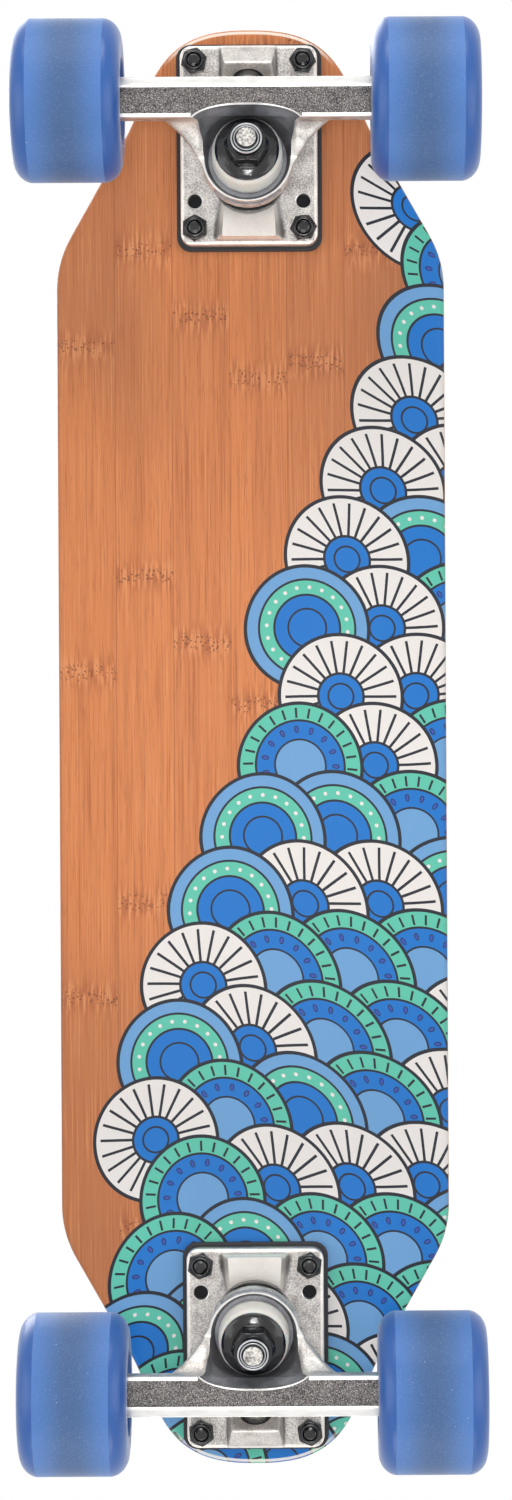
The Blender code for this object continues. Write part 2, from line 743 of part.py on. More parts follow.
def baseplate_mesh():
    base = tool(plate_blank())
    boss_loops = [
        (KINGPIN_SEAT - KINGPIN_BOSS_DEPTH, KINGPIN_BOSS_DIAMETER / 2, "round"),
        (KINGPIN_SEAT, KINGPIN_BOSS_DIAMETER / 2, "round"),
    ]
    pocket = KINGPIN_HEAD_FLATS + 2 * SEAT_GAP
    pocket_loops = [
        (-2 * CUT_OVERRUN, pocket, "hex"),
        (KINGPIN_HEAD_START + KINGPIN_HEAD_HEIGHT + SEAT_GAP, pocket, "hex"),
    ]
    bore = flat_radius(KINGPIN_DIAMETER / 2 + SEAT_GAP, SEAT_FACETS)
    bore_loops = [
        (KINGPIN_HEAD_START, bore, "round"),
        (KINGPIN_SEAT + CUT_OVERRUN, bore, "round"),
    ]
    steps = [
        ("UNION", tool(tongue_blank())),
        ("UNION", tool(lathe("boss", boss_loops, SEAT_FACETS), KINGPIN_FRAME)),
        ("UNION", tool(pivot_boss_blank())),
        ("DIFFERENCE", tool(lathe("pocket", pocket_loops, SMALL_FACETS), KINGPIN_FRAME)),
        ("DIFFERENCE", tool(lathe("bore", bore_loops, SEAT_FACETS), KINGPIN_FRAME)),
        ("DIFFERENCE", tool(pivot_socket_mesh(), PIVOT_FRAME)),
    ]
    rows = (BOLT_OUTER_Y, BOLT_INNER_Y, BOLT_SPARE_Y)
    steps += hole_cutters(rows, PLATE_BOTTOM - CUT_OVERRUN, PLATE_TOP + CUT_OVERRUN)
    return combine("baseplate", base, steps)


def pivot_socket_mesh():
    """Round-ended cutter on the steering axis, round the pivot cup."""
    radius = PIVOT_BALL_RADIUS + PIVOT_CUP_WALL + 2 * SEAT_GAP
    loops = []
    for angle_deg in (75, 38):
        angle = math.radians(angle_deg)
        loops.append((-radius * math.sin(angle), radius * math.cos(angle), "round"))
    loops.append((0.0, radius, "round"))
    loops.append((PIVOT_SOCKET_REACH, radius, "round"))
    return lathe("socket", loops, BEARING_FACETS)


def pivot_cup_mesh():
    outer = PIVOT_BALL_RADIUS + SEAT_GAP + PIVOT_CUP_WALL
    inner = flat_radius(PIVOT_BALL_RADIUS + SEAT_GAP, BEARING_FACETS)
    loops = []
    for angle_deg in (75, 38, 0):
        angle = math.radians(angle_deg)
        loops.append((-outer * math.sin(angle), outer * math.cos(angle), "round"))
    loops.append((PIVOT_CUP_MOUTH, outer, "round"))
    loops.append((PIVOT_CUP_MOUTH, inner, "round"))
    for angle_deg in (0, 38, 75):
        angle = math.radians(angle_deg)
        loops.append((-inner * math.sin(angle), inner * math.cos(angle), "round"))
    return lathe("pivot_cup", loops, BEARING_FACETS)


def kingpin_mesh():
    radius = KINGPIN_DIAMETER / 2
    head_end = KINGPIN_HEAD_START + KINGPIN_HEAD_HEIGHT
    chamfer = KINGPIN_TIP_CHAMFER
    loops = [
        (KINGPIN_HEAD_START, KINGPIN_HEAD_FLATS, "hex"),
        (head_end, KINGPIN_HEAD_FLATS, "hex"),
        (head_end, radius, "round"),
        (KINGPIN_TIP - chamfer, radius, "round"),
        (KINGPIN_TIP, radius - chamfer, "round"),
    ]
    return lathe("kingpin", loops, SMALL_FACETS)


def lower_washer_mesh():
    low = KINGPIN_SEAT + SEAT_GAP
    face = low + LOWER_WASHER_THICKNESS
    outer = LOWER_WASHER_RADIUS
    bore = flat_radius(KINGPIN_DIAMETER / 2 + SEAT_GAP, SEAT_FACETS)
    loops = [
        (low, bore, "round"),
        (low, outer - WASHER_LIP_WALL, "round"),
        (low + WASHER_LIP_WALL, outer, "round"),
        (face + LOWER_WASHER_LIP, outer, "round"),
        (face + LOWER_WASHER_LIP, outer - WASHER_LIP_WALL, "round"),
        (face, LOWER_WASHER_INNER_RADIUS, "round"),
        (face, bore, "round"),
    ]
    return lathe("lower_washer", loops, SEAT_FACETS, hollow=True)


def lower_bushing_mesh():
    low = LOWER_BUSHING_START
    high = LOWER_BUSHING_END
    end = LOWER_BUSHING_END_DIAMETER / 2
    wide = LOWER_BUSHING_DIAMETER / 2
    bore = flat_radius(KINGPIN_DIAMETER / 2 + SEAT_GAP, SEAT_FACETS)
    loops = [
        (low, bore, "round"),
        (low, end, "round"),
        (low + LOWER_WASHER_LIP + SEAT_GAP, end, "round"),
        (low + LOWER_WASHER_LIP + SEAT_GAP + BUSHING_SHOULDER, wide, "round"),
        (high, wide, "round"),
        (high, bore, "round"),
    ]
    return lathe("lower_bushing", loops, SEAT_FACETS, hollow=True)


def upper_bushing_mesh():
    low = UPPER_BUSHING_START
    high = low + UPPER_BUSHING_HEIGHT
    wide = UPPER_BUSHING_DIAMETER / 2
    bore = flat_radius(KINGPIN_DIAMETER / 2 + SEAT_GAP, SEAT_FACETS)
    loops = [
        (low, bore, "round"),
        (low, wide, "round"),
        (high - BUSHING_SHOULDER, wide, "round"),
        (high, UPPER_BUSHING_END_DIAMETER / 2, "round"),
        (high, bore, "round"),
    ]
    return lathe("upper_bushing", loops, SEAT_FACETS, hollow=True)


def upper_washer_mesh():
    low = UPPER_WASHER_START
    thick = UPPER_WASHER_THICKNESS
    outer = UPPER_WASHER_DIAMETER / 2
    bore = flat_radius(KINGPIN_DIAMETER / 2 + SEAT_GAP, SEAT_FACETS)
    land = KINGPIN_NUT_FLATS / 2 + UPPER_WASHER_LAND
    loops = [
        (low, bore, "round"),
        (low, outer, "round"),
        (low + thick - UPPER_WASHER_RIM, outer, "round"),
        (low + thick, outer - UPPER_WASHER_RIM, "round"),
        (low + thick + UPPER_WASHER_DOME, land, "round"),
        (low + thick + UPPER_WASHER_DOME, bore, "round"),
    ]
    return lathe("upper_washer", loops, SEAT_FACETS, hollow=True)


def nut_mesh(name, start, flats, hex_height, height, collar_diameter, shank_diameter):
    collar = collar_diameter / 2
    bore = flat_radius(shank_diameter / 2 + RUN_GAP, SMALL_FACETS)
    loops = [
        (start, bore, "round"),
        (start, flats, "hex"),
        (start + hex_height, flats, "hex"),
        (start + hex_height, collar, "round"),
        (start + height, collar - NUT_COLLAR_TAPER, "round"),
        (start + height, bore, "round"),
    ]
    return lathe(name, loops, SMALL_FACETS, hollow=True)


def mounting_bolt_mesh():
    """Countersunk screw with its head at the origin, pointing down."""
    head = BOLT_HEAD_DIAMETER / 2
    shank = BOLT_DIAMETER / 2
    nut_end = PLATE_BOTTOM - SEAT_GAP - MOUNT_NUT_HEIGHT
    length = DECK_TOP + BOLT_HEAD_RIM - nut_end + BOLT_TIP_OVER_NUT
    loops = [
        (0.0, head, "round"),
        (-BOLT_HEAD_RIM, head, "round"),
        (-BOLT_HEAD_DEPTH - BOLT_HEAD_RIM, shank, "round"),
        (-length + BOLT_TIP_CHAMFER, shank, "round"),
        (-length, shank - BOLT_TIP_CHAMFER, "round"),
    ]
    base = tool(lathe("bolt_blank", loops, SMALL_FACETS))
    half = BOLT_RECESS_LENGTH / 2
    thin = BOLT_RECESS_WIDTH / 2
    cross = [
        (thin, thin), (thin, half), (-thin, half), (-thin, thin),
        (-half, thin), (-half, -thin), (-thin, -thin), (-thin, -half),
        (thin, -half), (thin, -thin), (half, -thin), (half, thin),
    ]
    recess = tool(slab("recess", cross, -BOLT_RECESS_DEPTH, CUT_OVERRUN))
    return combine("mounting_bolt", base, [("DIFFERENCE", recess)])


# Hanger, in the place of the front one
def bar_profile():
    y = AXLE_Y
    z = AXLE_Z
    half = HANGER_LENGTH / 2
    return [
        (y - BAR_FACE_INNER, z - BAR_FACE_DROP, half),
        (y + BAR_FACE_OUTER, z - BAR_FACE_DROP, half),
        (y + BAR_FACET_OUTER, z - BAR_FACET_DROP, half),
        (y + BAR_OUTER, z, half),
        (y + BAR_OUTER - BAR_TOP_EDGE_INSET, z + BAR_TOP_EDGE_RISE, half),
        (y + BAR_TOP_HALF_WIDTH, z + BAR_TOP_RISE, half),
        (y - BAR_TOP_HALF_WIDTH, z + BAR_TOP_RISE, half),
        (y - BAR_FACE_INNER, z + BAR_INNER_EDGE_RISE, half),
    ]


def ring_place(height, reach):
    """Y and Z in the kingpin frame, reach outwards along the board."""
    point = KINGPIN_FRAME @ Vector((0.0, -reach, height))
    return point.y, point.z


def yoke_mesh():
    """Ring and side walls, cut from a side view and a plan view."""
    wide = BOWL_HALF_WIDTH + CUT_OVERRUN
    skirt = RING_CENTRE - RING_SKIRT_DROP
    lip = RING_CENTRE + RING_LIP_RISE
    bar_face = AXLE_Z - BAR_FACE_DROP
    bar_side = AXLE_Y - BAR_FACE_INNER
    corners = [
        ring_place(skirt, -RING_RADIUS - CUT_OVERRUN),
        ring_place(lip, -RING_RADIUS - CUT_OVERRUN),
        ring_place(lip, 0.0),
        (bar_side - WALL_KNEE_REACH, bar_face + WALL_KNEE_RISE),
        (bar_side - WALL_TOE_REACH, bar_face + WALL_TOE_RISE),
        (bar_side, bar_face),
        (AXLE_Y, bar_face),
        (AXLE_Y, AXLE_Z + WALL_BACK_RISE),
        ring_place(skirt, RING_RADIUS),
    ]
    base = tool(side_prism("yoke_side", [(y, z, wide) for y, z in corners]))
    centre_y = RING_POINT.y
    outline = []
    arc_steps = 12
    for step in range(arc_steps + 1):
        angle = math.pi + math.pi * step / arc_steps
        outline.append((RING_RADIUS * math.cos(angle), centre_y + RING_RADIUS * math.sin(angle)))
    outline += [
        (RING_RADIUS, centre_y + WALL_SHOULDER),
        (BOWL_HALF_WIDTH, bar_side),
        (BOWL_HALF_WIDTH, AXLE_Y + CUT_OVERRUN),
        (-BOWL_HALF_WIDTH, AXLE_Y + CUT_OVERRUN),
        (-BOWL_HALF_WIDTH, bar_side),
        (-RING_RADIUS, centre_y + WALL_SHOULDER),
    ]
    plan = tool(slab("yoke_plan", outline, bar_face - CUT_OVERRUN, PLATE_TOP))
    return combine("yoke", base, [("INTERSECT", plan)])


def bowl_mesh():
    """Open bowl round the upper bushing, widening into the bar's face.

    Each level is the Y and Z of its middle, its half width, its reach outwards
    and inwards along the board, its tilt, and how square its outward side is.
    """
    seat_y, seat_z = ring_place(RING_CENTRE + RING_WEB_HALF_THICKNESS, 0.0)
    lip_y, lip_z = ring_place(RING_CENTRE + RING_LIP_RISE, 0.0)
    face_z = AXLE_Z - BAR_FACE_DROP
    tilt = math.tan(LEAN)
    seat = RING_UPPER_SEAT_RADIUS
    lip = seat + BOWL_LIP_GROWTH
    lip_outer = seat + BOWL_LIP_OUTER_GROWTH
    waist = seat + BOWL_WAIST_GROWTH
    hip = seat + BOWL_HIP_GROWTH
    mouth = BOWL_MOUTH_HALF_WIDTH
    open_reach = seat + BOWL_OPEN_REACH
    back = AXLE_Y - BOWL_BACK_FROM_AXLE - lip_y
    arc = BOWL_ARC_DEPTH
    arc_y = AXLE_Y - BOWL_ARC_FROM_AXLE - arc
    levels = [
        (seat_y, seat_z, seat, seat, seat, tilt, 2.0),
        (lip_y, lip_z, lip, lip_outer, lip, tilt, 2.2),
        (lip_y, face_z + BOWL_WAIST_RISE, waist, back + BOWL_BACK_LEAN, open_reach, 0.0, 2.8),
        (lip_y, face_z + BOWL_HIP_RISE, hip, back, open_reach, 0.0, 6.0),
        (arc_y, face_z, mouth, arc, BOWL_MOUTH_OPEN_REACH, 0.0, 2.0),
        (arc_y, face_z - CUT_OVERRUN, mouth, arc, BOWL_MOUTH_OPEN_REACH, 0.0, 2.0),
    ]
    bm = bmesh.new()
    rings = []
    for y, z, half, outward, inward, slope, square in levels:
        ring = []
        for step in range(BOWL_FACETS):
            angle = 2 * math.pi * step / BOWL_FACETS
            power = 2 / square if math.sin(angle) > 0 else 1.0
            side = math.copysign(abs(math.cos(angle)) ** power, math.cos(angle))
            reach = math.copysign(abs(math.sin(angle)) ** power, math.sin(angle))
            along = reach * (outward if reach > 0 else inward)
            ring.append(bm.verts.new((half * side, y + along, z + along * slope)))
        rings.append(ring)
    for low, high in zip(rings, rings[1:]):
        for step in range(BOWL_FACETS):
            after = (step + 1) % BOWL_FACETS
            bm.faces.new((low[step], low[after], high[after], high[step]))
    bm.faces.new(rings[0])
    bm.faces.new(rings[-1])
    bmesh.ops.triangulate(bm, faces=bm.faces)
    return finish_mesh(bm, "bowl")


def gusset_mesh(side):
    """Curved web between the bar and the ring, on one side."""
    start = Vector((GUSSET_REACH, AXLE_Y - BAR_FACE_INNER + GUSSET_BURIED))
    bend = Vector((GUSSET_BEND_X, AXLE_Y - GUSSET_BEND_Y))
    stop = Vector((GUSSET_END_X, AXLE_Y - GUSSET_END_Y))
    bm = bmesh.new()
    sections = []
    steps = 6
    for step in range(steps + 1):
        t = step / steps
        edge = start * (1 - t) ** 2 + bend * 2 * t * (1 - t) + stop * t ** 2
        root_low = AXLE_Z + GUSSET_RING_ROOT_RISE - GUSSET_ROOT_SWEEP * (1 - t) ** 2
        edge_low = AXLE_Z + GUSSET_RING_EDGE_RISE - GUSSET_EDGE_SWEEP * (1 - t) ** 2
        high = edge_low + GUSSET_THICKNESS
        corners = (
            (GUSSET_ROOT_X, root_low),
            (edge.x, edge_low),
            (edge.x, high - GUSSET_EDGE_DRAFT),
            (GUSSET_ROOT_X, high),
        )
        sections.append([bm.verts.new((side * x, edge.y, z)) for x, z in corners])
    for first, second in zip(sections, sections[1:]):
        for corner in range(4):
            after = (corner + 1) % 4
            bm.faces.new((first[corner], first[after], second[after], second[corner]))
    bm.faces.new(sections[0])
    bm.faces.new(sections[-1])
    bmesh.ops.triangulate(bm, faces=bm.faces)
    return finish_mesh(bm, "gusset")


def stem_mesh():
    """Ball-ended pivot stem along the steering axis."""
    ball = PIVOT_BALL_RADIUS
    loops = []
    for angle_deg in (72, 36):
        angle = math.radians(angle_deg)
        loops.append((-ball * math.sin(angle), ball * math.cos(angle), "round"))
    loops += [
        (0.0, ball, "round"),
        (PIVOT_CUP_MOUTH + STEM_NECK, ball, "round"),
        (PIVOT_CUP_MOUTH + STEM_TAPER, STEM_RADIUS - STEM_NECK, "round"),
        (STEM_LENGTH - STEM_TAPER, STEM_RADIUS, "round"),
        (STEM_LENGTH, STEM_RADIUS, "round"),
    ]
    return lathe("stem", loops, BEARING_FACETS)


def neck_block_mesh():
    """Rib that carries the pivot stem under the bar."""
    wide = NECK_BLOCK_HALF_WIDTH
    middle = RING_RADIUS - RING_WALL / 2
    skirt_y, skirt_z = ring_place(RING_CENTRE - RING_SKIRT_DROP, middle)
    web_y, web_z = ring_place(RING_CENTRE, middle)
    profile = [
        (skirt_y, skirt_z - NECK_BLOCK_BURIED, wide),
        (skirt_y + NECK_BLOCK_HEEL_REACH, skirt_z + NECK_BLOCK_HEEL_RISE, NECK_BLOCK_HEEL_HALF_WIDTH),
        (AXLE_Y + NECK_BLOCK_TOP_REACH, AXLE_Z + NECK_BLOCK_TOP_RISE, NECK_BLOCK_TOP_HALF_WIDTH),
        (AXLE_Y + NECK_BLOCK_SIDE_REACH, AXLE_Z + NECK_BLOCK_SIDE_RISE, NECK_BLOCK_SIDE_HALF_WIDTH),
        (AXLE_Y + BAR_FACET_OUTER, AXLE_Z + BAR_TOP_EDGE_RISE, wide),
        (web_y, AXLE_Z + BAR_TOP_EDGE_RISE, wide),
        (web_y, web_z, wide),
    ]
    return side_prism("neck_block", profile)


def hanger_mesh():
    base = tool(side_prism("bar", bar_profile()))
    web_low = RING_CENTRE - RING_WEB_HALF_THICKNESS
    lower_loops = [
        (LOWER_BUSHING_START, RING_LOWER_SEAT_RADIUS, "round"),
        (web_low, RING_LOWER_SEAT_RADIUS, "round"),
    ]
    hole_loops = [
        (web_low - CUT_OVERRUN, RING_HOLE_RADIUS, "round"),
        (RING_CENTRE + RING_WEB_HALF_THICKNESS + CUT_OVERRUN, RING_HOLE_RADIUS, "round"),
    ]
    axle_bore = flat_radius(AXLE_DIAMETER / 2 + RUN_GAP, SMALL_FACETS)
    along_x = Matrix.Translation((0.0, AXLE_Y, AXLE_Z)) @ Matrix.Rotation(math.pi / 2, 4, "Y")
    reach = HANGER_LENGTH / 2 + CUT_OVERRUN
    axle_loops = [(-reach, axle_bore, "round"), (reach, axle_bore, "round")]
    steps = [
        ("UNION", tool(yoke_mesh())),
        ("UNION", tool(gusset_mesh(1))),
        ("UNION", tool(gusset_mesh(-1))),
        ("UNION", tool(neck_block_mesh())),
        ("UNION", tool(stem_mesh(), PIVOT_FRAME)),
        ("DIFFERENCE", tool(bowl_mesh())),
        ("DIFFERENCE", tool(lathe("lower_seat", lower_loops, SEAT_FACETS), KINGPIN_FRAME)),
        ("DIFFERENCE", tool(lathe("ring_hole", hole_loops, SEAT_FACETS), KINGPIN_FRAME)),
        ("DIFFERENCE", tool(lathe("axle_bore", axle_loops, SMALL_FACETS), along_x)),
    ]
    mesh = combine("hanger", base, steps)
    mesh.transform(Matrix.Translation(-RING_POINT))
    return mesh


# Rolling pieces, with their axis on Z until they are placed
def axle_mesh():
    radius = AXLE_DIAMETER / 2
    half = AXLE_HALF_LENGTH
    loops = [
        (-half, radius - AXLE_CHAMFER, "round"),
        (-half + AXLE_CHAMFER, radius, "round"),
        (half - AXLE_CHAMFER, radius, "round"),
        (half, radius - AXLE_CHAMFER, "round"),
    ]
    return lathe("axle", loops, SMALL_FACETS, turn=math.pi / SMALL_FACETS)


def wheel_mesh():
    """Wheel with its rounded lips, its two bearing seats and its core."""
    half = WHEEL_WIDTH / 2
    tread = TREAD_WIDTH / 2
    rim = flat_radius(WHEEL_DIAMETER / 2, WHEEL_FACETS)
    face = WHEEL_FACE_RADIUS
    lip = half - tread
    seat = flat_radius(BEARING_DIAMETER / 2 + RUN_GAP, WHEEL_FACETS)
    stop = BEARING_SPACING / 2 - RUN_GAP
    mouth = BEARING_SPACING / 2 + BEARING_WIDTH
    core = flat_radius(WHEEL_CORE_RADIUS, WHEEL_FACETS)
    right = [
        (tread, rim),
        (tread + lip * 0.46, rim - (rim - face) * 0.12),
        (tread + lip * 0.82, rim - (rim - face) * 0.48),
        (half, face),
        (half, WHEEL_MOUTH_RADIUS),
        (mouth, seat),
        (stop, seat),
        (stop, core),
    ]
    profile = right + [(-x, radius) for x, radius in reversed(right)]
    loops = [(x, radius, "round") for x, radius in profile]
    return lathe("wheel", loops, WHEEL_FACETS, hollow=True, turn=math.pi / WHEEL_FACETS)


def tube_mesh(name, length, outer, inner, facets):
    half = length / 2
    turn = math.pi / facets
    loops = [(-half, outer, "round"), (half, outer, "round"), (half, inner, "round"), (-half, inner, "round")]
    return lathe(name, loops, facets, hollow=True, turn=turn)


def axle_nut_mesh():
    """Lock nut whose seat is at the origin and whose collar points outwards."""
    return nut_mesh(
        "axle_nut",
        0.0,
        AXLE_NUT_FLATS,
        AXLE_NUT_HEX_HEIGHT,
        AXLE_NUT_HEIGHT,
        AXLE_NUT_COLLAR_DIAMETER,
        AXLE_DIAMETER,
    )


clear_scene()

# Materials
bamboo = make_material("bamboo", srgb(214, 146, 102), 0.38)
grit = make_material("grip_grit", srgb(26, 26, 28), 0.95)
pad_rubber = make_material("pad_rubber", srgb(28, 28, 31), 0.80)
plate_metal = make_material("cast_plate", srgb(200, 197, 193), 0.42, 1.0)
hanger_metal = make_material("cast_hanger", srgb(190, 187, 183), 0.40, 1.0)
cup_plastic = make_material("cup_plastic", srgb(30, 30, 33), 0.55)
black_steel = make_material("black_steel", srgb(34, 35, 40), 0.28, 0.75)
cream_urethane = make_material("cream_urethane", srgb(232, 230, 222), 0.38)
axle_steel = make_material("axle_steel", srgb(178, 178, 180), 0.30, 1.0)
wheel_urethane = make_material("wheel_urethane", srgb(74, 124, 204), 0.42)
bearing_steel = make_material("bearing_steel", srgb(170, 171, 174), 0.25, 1.0)
spacer_metal = make_material("spacer_metal", srgb(185, 186, 190), 0.35, 1.0)
zinc = make_material("zinc_steel", srgb(186, 187, 190), 0.30, 1.0)

# Meshes that copies share
pad = pad_mesh()
baseplate = baseplate_mesh()
cup = pivot_cup_mesh()
kingpin = kingpin_mesh()
lower_washer = lower_washer_mesh()
lower_bushing = lower_bushing_mesh()
upper_bushing = upper_bushing_mesh()
upper_washer = upper_washer_mesh()
kingpin_nut = nut_mesh(
    "kingpin_nut",
    KINGPIN_NUT_START,
    KINGPIN_NUT_FLATS,
    KINGPIN_NUT_HEX_HEIGHT,
    KINGPIN_NUT_HEIGHT,
    KINGPIN_NUT_COLLAR_DIAMETER,
    KINGPIN_DIAMETER,
)
mounting_bolt = mounting_bolt_mesh()
mounting_nut = nut_mesh(
    "mounting_nut",
    0.0,
    MOUNT_NUT_FLATS,
    MOUNT_NUT_HEX_HEIGHT,
    MOUNT_NUT_HEIGHT,
    MOUNT_NUT_COLLAR_DIAMETER,
    BOLT_DIAMETER,
)
hanger = hanger_mesh()
axle = axle_mesh()
wheel = wheel_mesh()
bearing_bore = flat_radius(AXLE_DIAMETER / 2 + RUN_GAP, BEARING_FACETS)
bearing = tube_mesh("bearing", BEARING_WIDTH, BEARING_DIAMETER / 2, bearing_bore, BEARING_FACETS)
spacer_bore = flat_radius(AXLE_DIAMETER / 2 + RUN_GAP, SMALL_FACETS)
spacer_length = BEARING_SPACING - 2 * RUN_GAP
spacer = tube_mesh("spacer", spacer_length, SPACER_DIAMETER / 2, spacer_bore, SMALL_FACETS)
axle_nut = axle_nut_mesh()
for smooth in (kingpin, lower_washer, lower_bushing, upper_bushing, upper_washer, cup, axle, wheel, bearing, spacer):
    shade(smooth)

# Deck
board = add_empty("board")
deck = deck_mesh()
shade(deck)
add_part("deck", deck, bamboo, board)
add_part("grip_tape", grip_mesh(), grit, board)

# Trucks. The rear one is the front one turned half round
half_turn = Matrix.Rotation(math.pi, 4, "Z")
no_turn = Matrix.Identity(4)
for end, end_turn in (("front", no_turn), ("rear", half_turn)):
    truck = add_empty(end + "_truck", board, end_turn)
    add_part(end + "_riser_pad", pad, pad_rubber, truck)
    add_part(end + "_baseplate", baseplate, plate_metal, truck)
    add_part(end + "_pivot_cup", cup, cup_plastic, truck, PIVOT_FRAME)
    add_part(end + "_kingpin", kingpin, axle_steel, truck, KINGPIN_FRAME)
    add_part(end + "_lower_washer", lower_washer, black_steel, truck, KINGPIN_FRAME)
    add_part(end + "_lower_bushing", lower_bushing, cream_urethane, truck, KINGPIN_FRAME)
    add_part(end + "_upper_bushing", upper_bushing, cream_urethane, truck, KINGPIN_FRAME)
    add_part(end + "_upper_washer", upper_washer, black_steel, truck, KINGPIN_FRAME)
    add_part(end + "_kingpin_nut", kingpin_nut, black_steel, truck, KINGPIN_FRAME)

    steer = add_part(end + "_hanger", hanger, hanger_metal, truck, Matrix.Translation(RING_POINT))
    axle_place = Vector((0.0, AXLE_Y, AXLE_Z)) - RING_POINT
    axle_turn = Matrix.Rotation(math.pi / 2, 4, "Y")
    add_part(end + "_axle", axle, axle_steel, steer, Matrix.Translation(axle_place) @ axle_turn)

    # Left is -X at both ends of the board, so the rear truck swaps its sides
    flip = 1 if end == "front" else -1
    for side, direction in (("left", -flip), ("right", flip)):
        outward = Matrix.Rotation(math.pi / 2 * direction, 4, "Y")
        middle = Vector((direction * WHEEL_CENTRE_X, 0.0, 0.0)) + axle_place
        label = end + "_" + side
        add_part(label + "_spacer", spacer, spacer_metal, steer, Matrix.Translation(middle) @ outward)
        nut_place = axle_place + Vector((direction * AXLE_NUT_X, 0.0, 0.0))
        add_part(label + "_axle_nut", axle_nut, zinc, steer, Matrix.Translation(nut_place) @ outward)
        roller = add_part(label + "_wheel", wheel, wheel_urethane, steer, Matrix.Translation(middle) @ outward)
        step = (BEARING_SPACING + BEARING_WIDTH) / 2
        for place, shift in (("inner", -step), ("outer", step)):
            name = label + "_" + place + "_bearing"
            add_part(name, bearing, bearing_steel, roller, Matrix.Translation((0.0, 0.0, shift)))

# Mounting hardware
for x, y in bolt_places():
    end = "front" if y > 0 else "rear"
    side = "left" if x < 0 else "right"
    row = "outer" if abs(y) > PLATE_CENTRE_Y else "inner"
    label = end + "_" + side + "_" + row
    bolt_top = Matrix.Translation((x, y, DECK_TOP + BOLT_HEAD_RIM))
    add_part(label + "_bolt", mounting_bolt, black_steel, board, bolt_top)
    under = Matrix.Rotation(math.pi, 4, "X") @ Matrix.Rotation(math.pi / 6, 4, "Z")
    nut_seat = Matrix.Translation((x, y, PLATE_BOTTOM - SEAT_GAP))
    add_part(label + "_nut", mounting_nut, black_steel, board, nut_seat @ under)

bpy.context.view_layer.update()
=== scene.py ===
# %% [markdown]
# # A mini cruiser skateboard, seen from below
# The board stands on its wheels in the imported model: a bamboo deck, two cast trucks with
# their kingpins inboard, and four soft blue wheels. The photograph looks straight up at its
# underside. Every piece below takes the place of a plain solid of that model, in metres and
# in the same frame: X is the width, Y the length with the front at +Y, and Z points up.

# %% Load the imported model
import math

import bmesh
import bpy
from mathutils import Matrix, Vector


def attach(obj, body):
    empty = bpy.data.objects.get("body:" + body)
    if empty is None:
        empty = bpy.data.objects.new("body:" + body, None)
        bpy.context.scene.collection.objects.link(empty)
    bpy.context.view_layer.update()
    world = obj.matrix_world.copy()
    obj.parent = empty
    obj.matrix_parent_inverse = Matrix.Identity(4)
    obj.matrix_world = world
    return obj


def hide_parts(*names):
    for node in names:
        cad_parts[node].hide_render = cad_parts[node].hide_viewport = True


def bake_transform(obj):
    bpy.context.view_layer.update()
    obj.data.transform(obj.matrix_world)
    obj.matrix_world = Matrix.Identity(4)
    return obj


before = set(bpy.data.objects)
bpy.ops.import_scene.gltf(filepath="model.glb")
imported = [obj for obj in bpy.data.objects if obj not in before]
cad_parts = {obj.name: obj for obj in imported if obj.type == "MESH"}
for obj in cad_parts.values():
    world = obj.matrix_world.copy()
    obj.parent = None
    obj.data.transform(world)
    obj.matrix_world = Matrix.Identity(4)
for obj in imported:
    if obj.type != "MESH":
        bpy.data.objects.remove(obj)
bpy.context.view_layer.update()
scene = bpy.context.scene

# %% [markdown]
# ## Camera
# The photograph was taken from below with a long lens, with the front of the board at the
# bottom of the picture. The camera lies on its back 1.35 m under the ground. It stood a little
# to the right of the board's middle, which shows in how the trucks hide the deck, so the lens
# is shifted back, and a turn of a third of a degree levels the board. Three short helpers move
# a thing, turn it, and put it into the scene.

# %% Camera
CAMERA_PLACE = (0.0263, 0.0014, -1.350)
CAMERA_ROLL = math.radians(-0.32)
CAMERA_LENS = 89.58
CAMERA_SHIFT = -0.0435


def move(x, y, z):
    return Matrix.Translation((x, y, z))


def spin(angle, axis):
    return Matrix.Rotation(angle, 4, axis)


def new_object(name, data):
    obj = bpy.data.objects.new(name, data)
    scene.collection.objects.link(obj)
    return obj


camera_data = bpy.data.cameras.new("camera")
camera_data.lens = CAMERA_LENS
camera_data.shift_x = CAMERA_SHIFT
camera_data.clip_start = 0.01
camera = new_object("camera", camera_data)
camera.matrix_world = move(*CAMERA_PLACE) @ spin(math.pi, "X") @ spin(CAMERA_ROLL, "Z")
scene.camera = camera
scene.view_settings.view_transform = "Standard"
print("camera at", CAMERA_PLACE)

# %% [markdown]
# ## Sums in node trees
# Shader patterns are sums over a surface. Wiring dozens of Math nodes by hand hides the sum,
# so a small class lets Python's own operators add the nodes, and one method adds any other
# node with its settings and its sockets. The same class serves shaders and Geometry Nodes.

# %% Values and nets
def operator(kind, reflected=False):
    """A method that adds one Math node. A reflected one has its own value on the right."""
    if reflected:
        return lambda self, other: self.net.math(kind, other, self)
    return lambda self, other: self.net.math(kind, self, other)


class Value:
    """A socket in a node tree, on which Python's operators add Math nodes."""

    __add__, __radd__ = operator("ADD"), operator("ADD", True)
    __sub__, __rsub__ = operator("SUBTRACT"), operator("SUBTRACT", True)
    __mul__, __rmul__ = operator("MULTIPLY"), operator("MULTIPLY", True)
    __truediv__, __mod__ = operator("DIVIDE"), operator("FLOORED_MODULO")
    __lt__, __gt__ = operator("LESS_THAN"), operator("GREATER_THAN")

    def __init__(self, net, socket):
        self.net = net
        self.socket = socket

    def __abs__(self):
        return self.net.math("ABSOLUTE", self)

    def floor(self):
        return self.net.math("FLOOR", self)

    def out(self, number):
        """Another output of the same node."""
        return Value(self.net, self.socket.node.outputs[number])


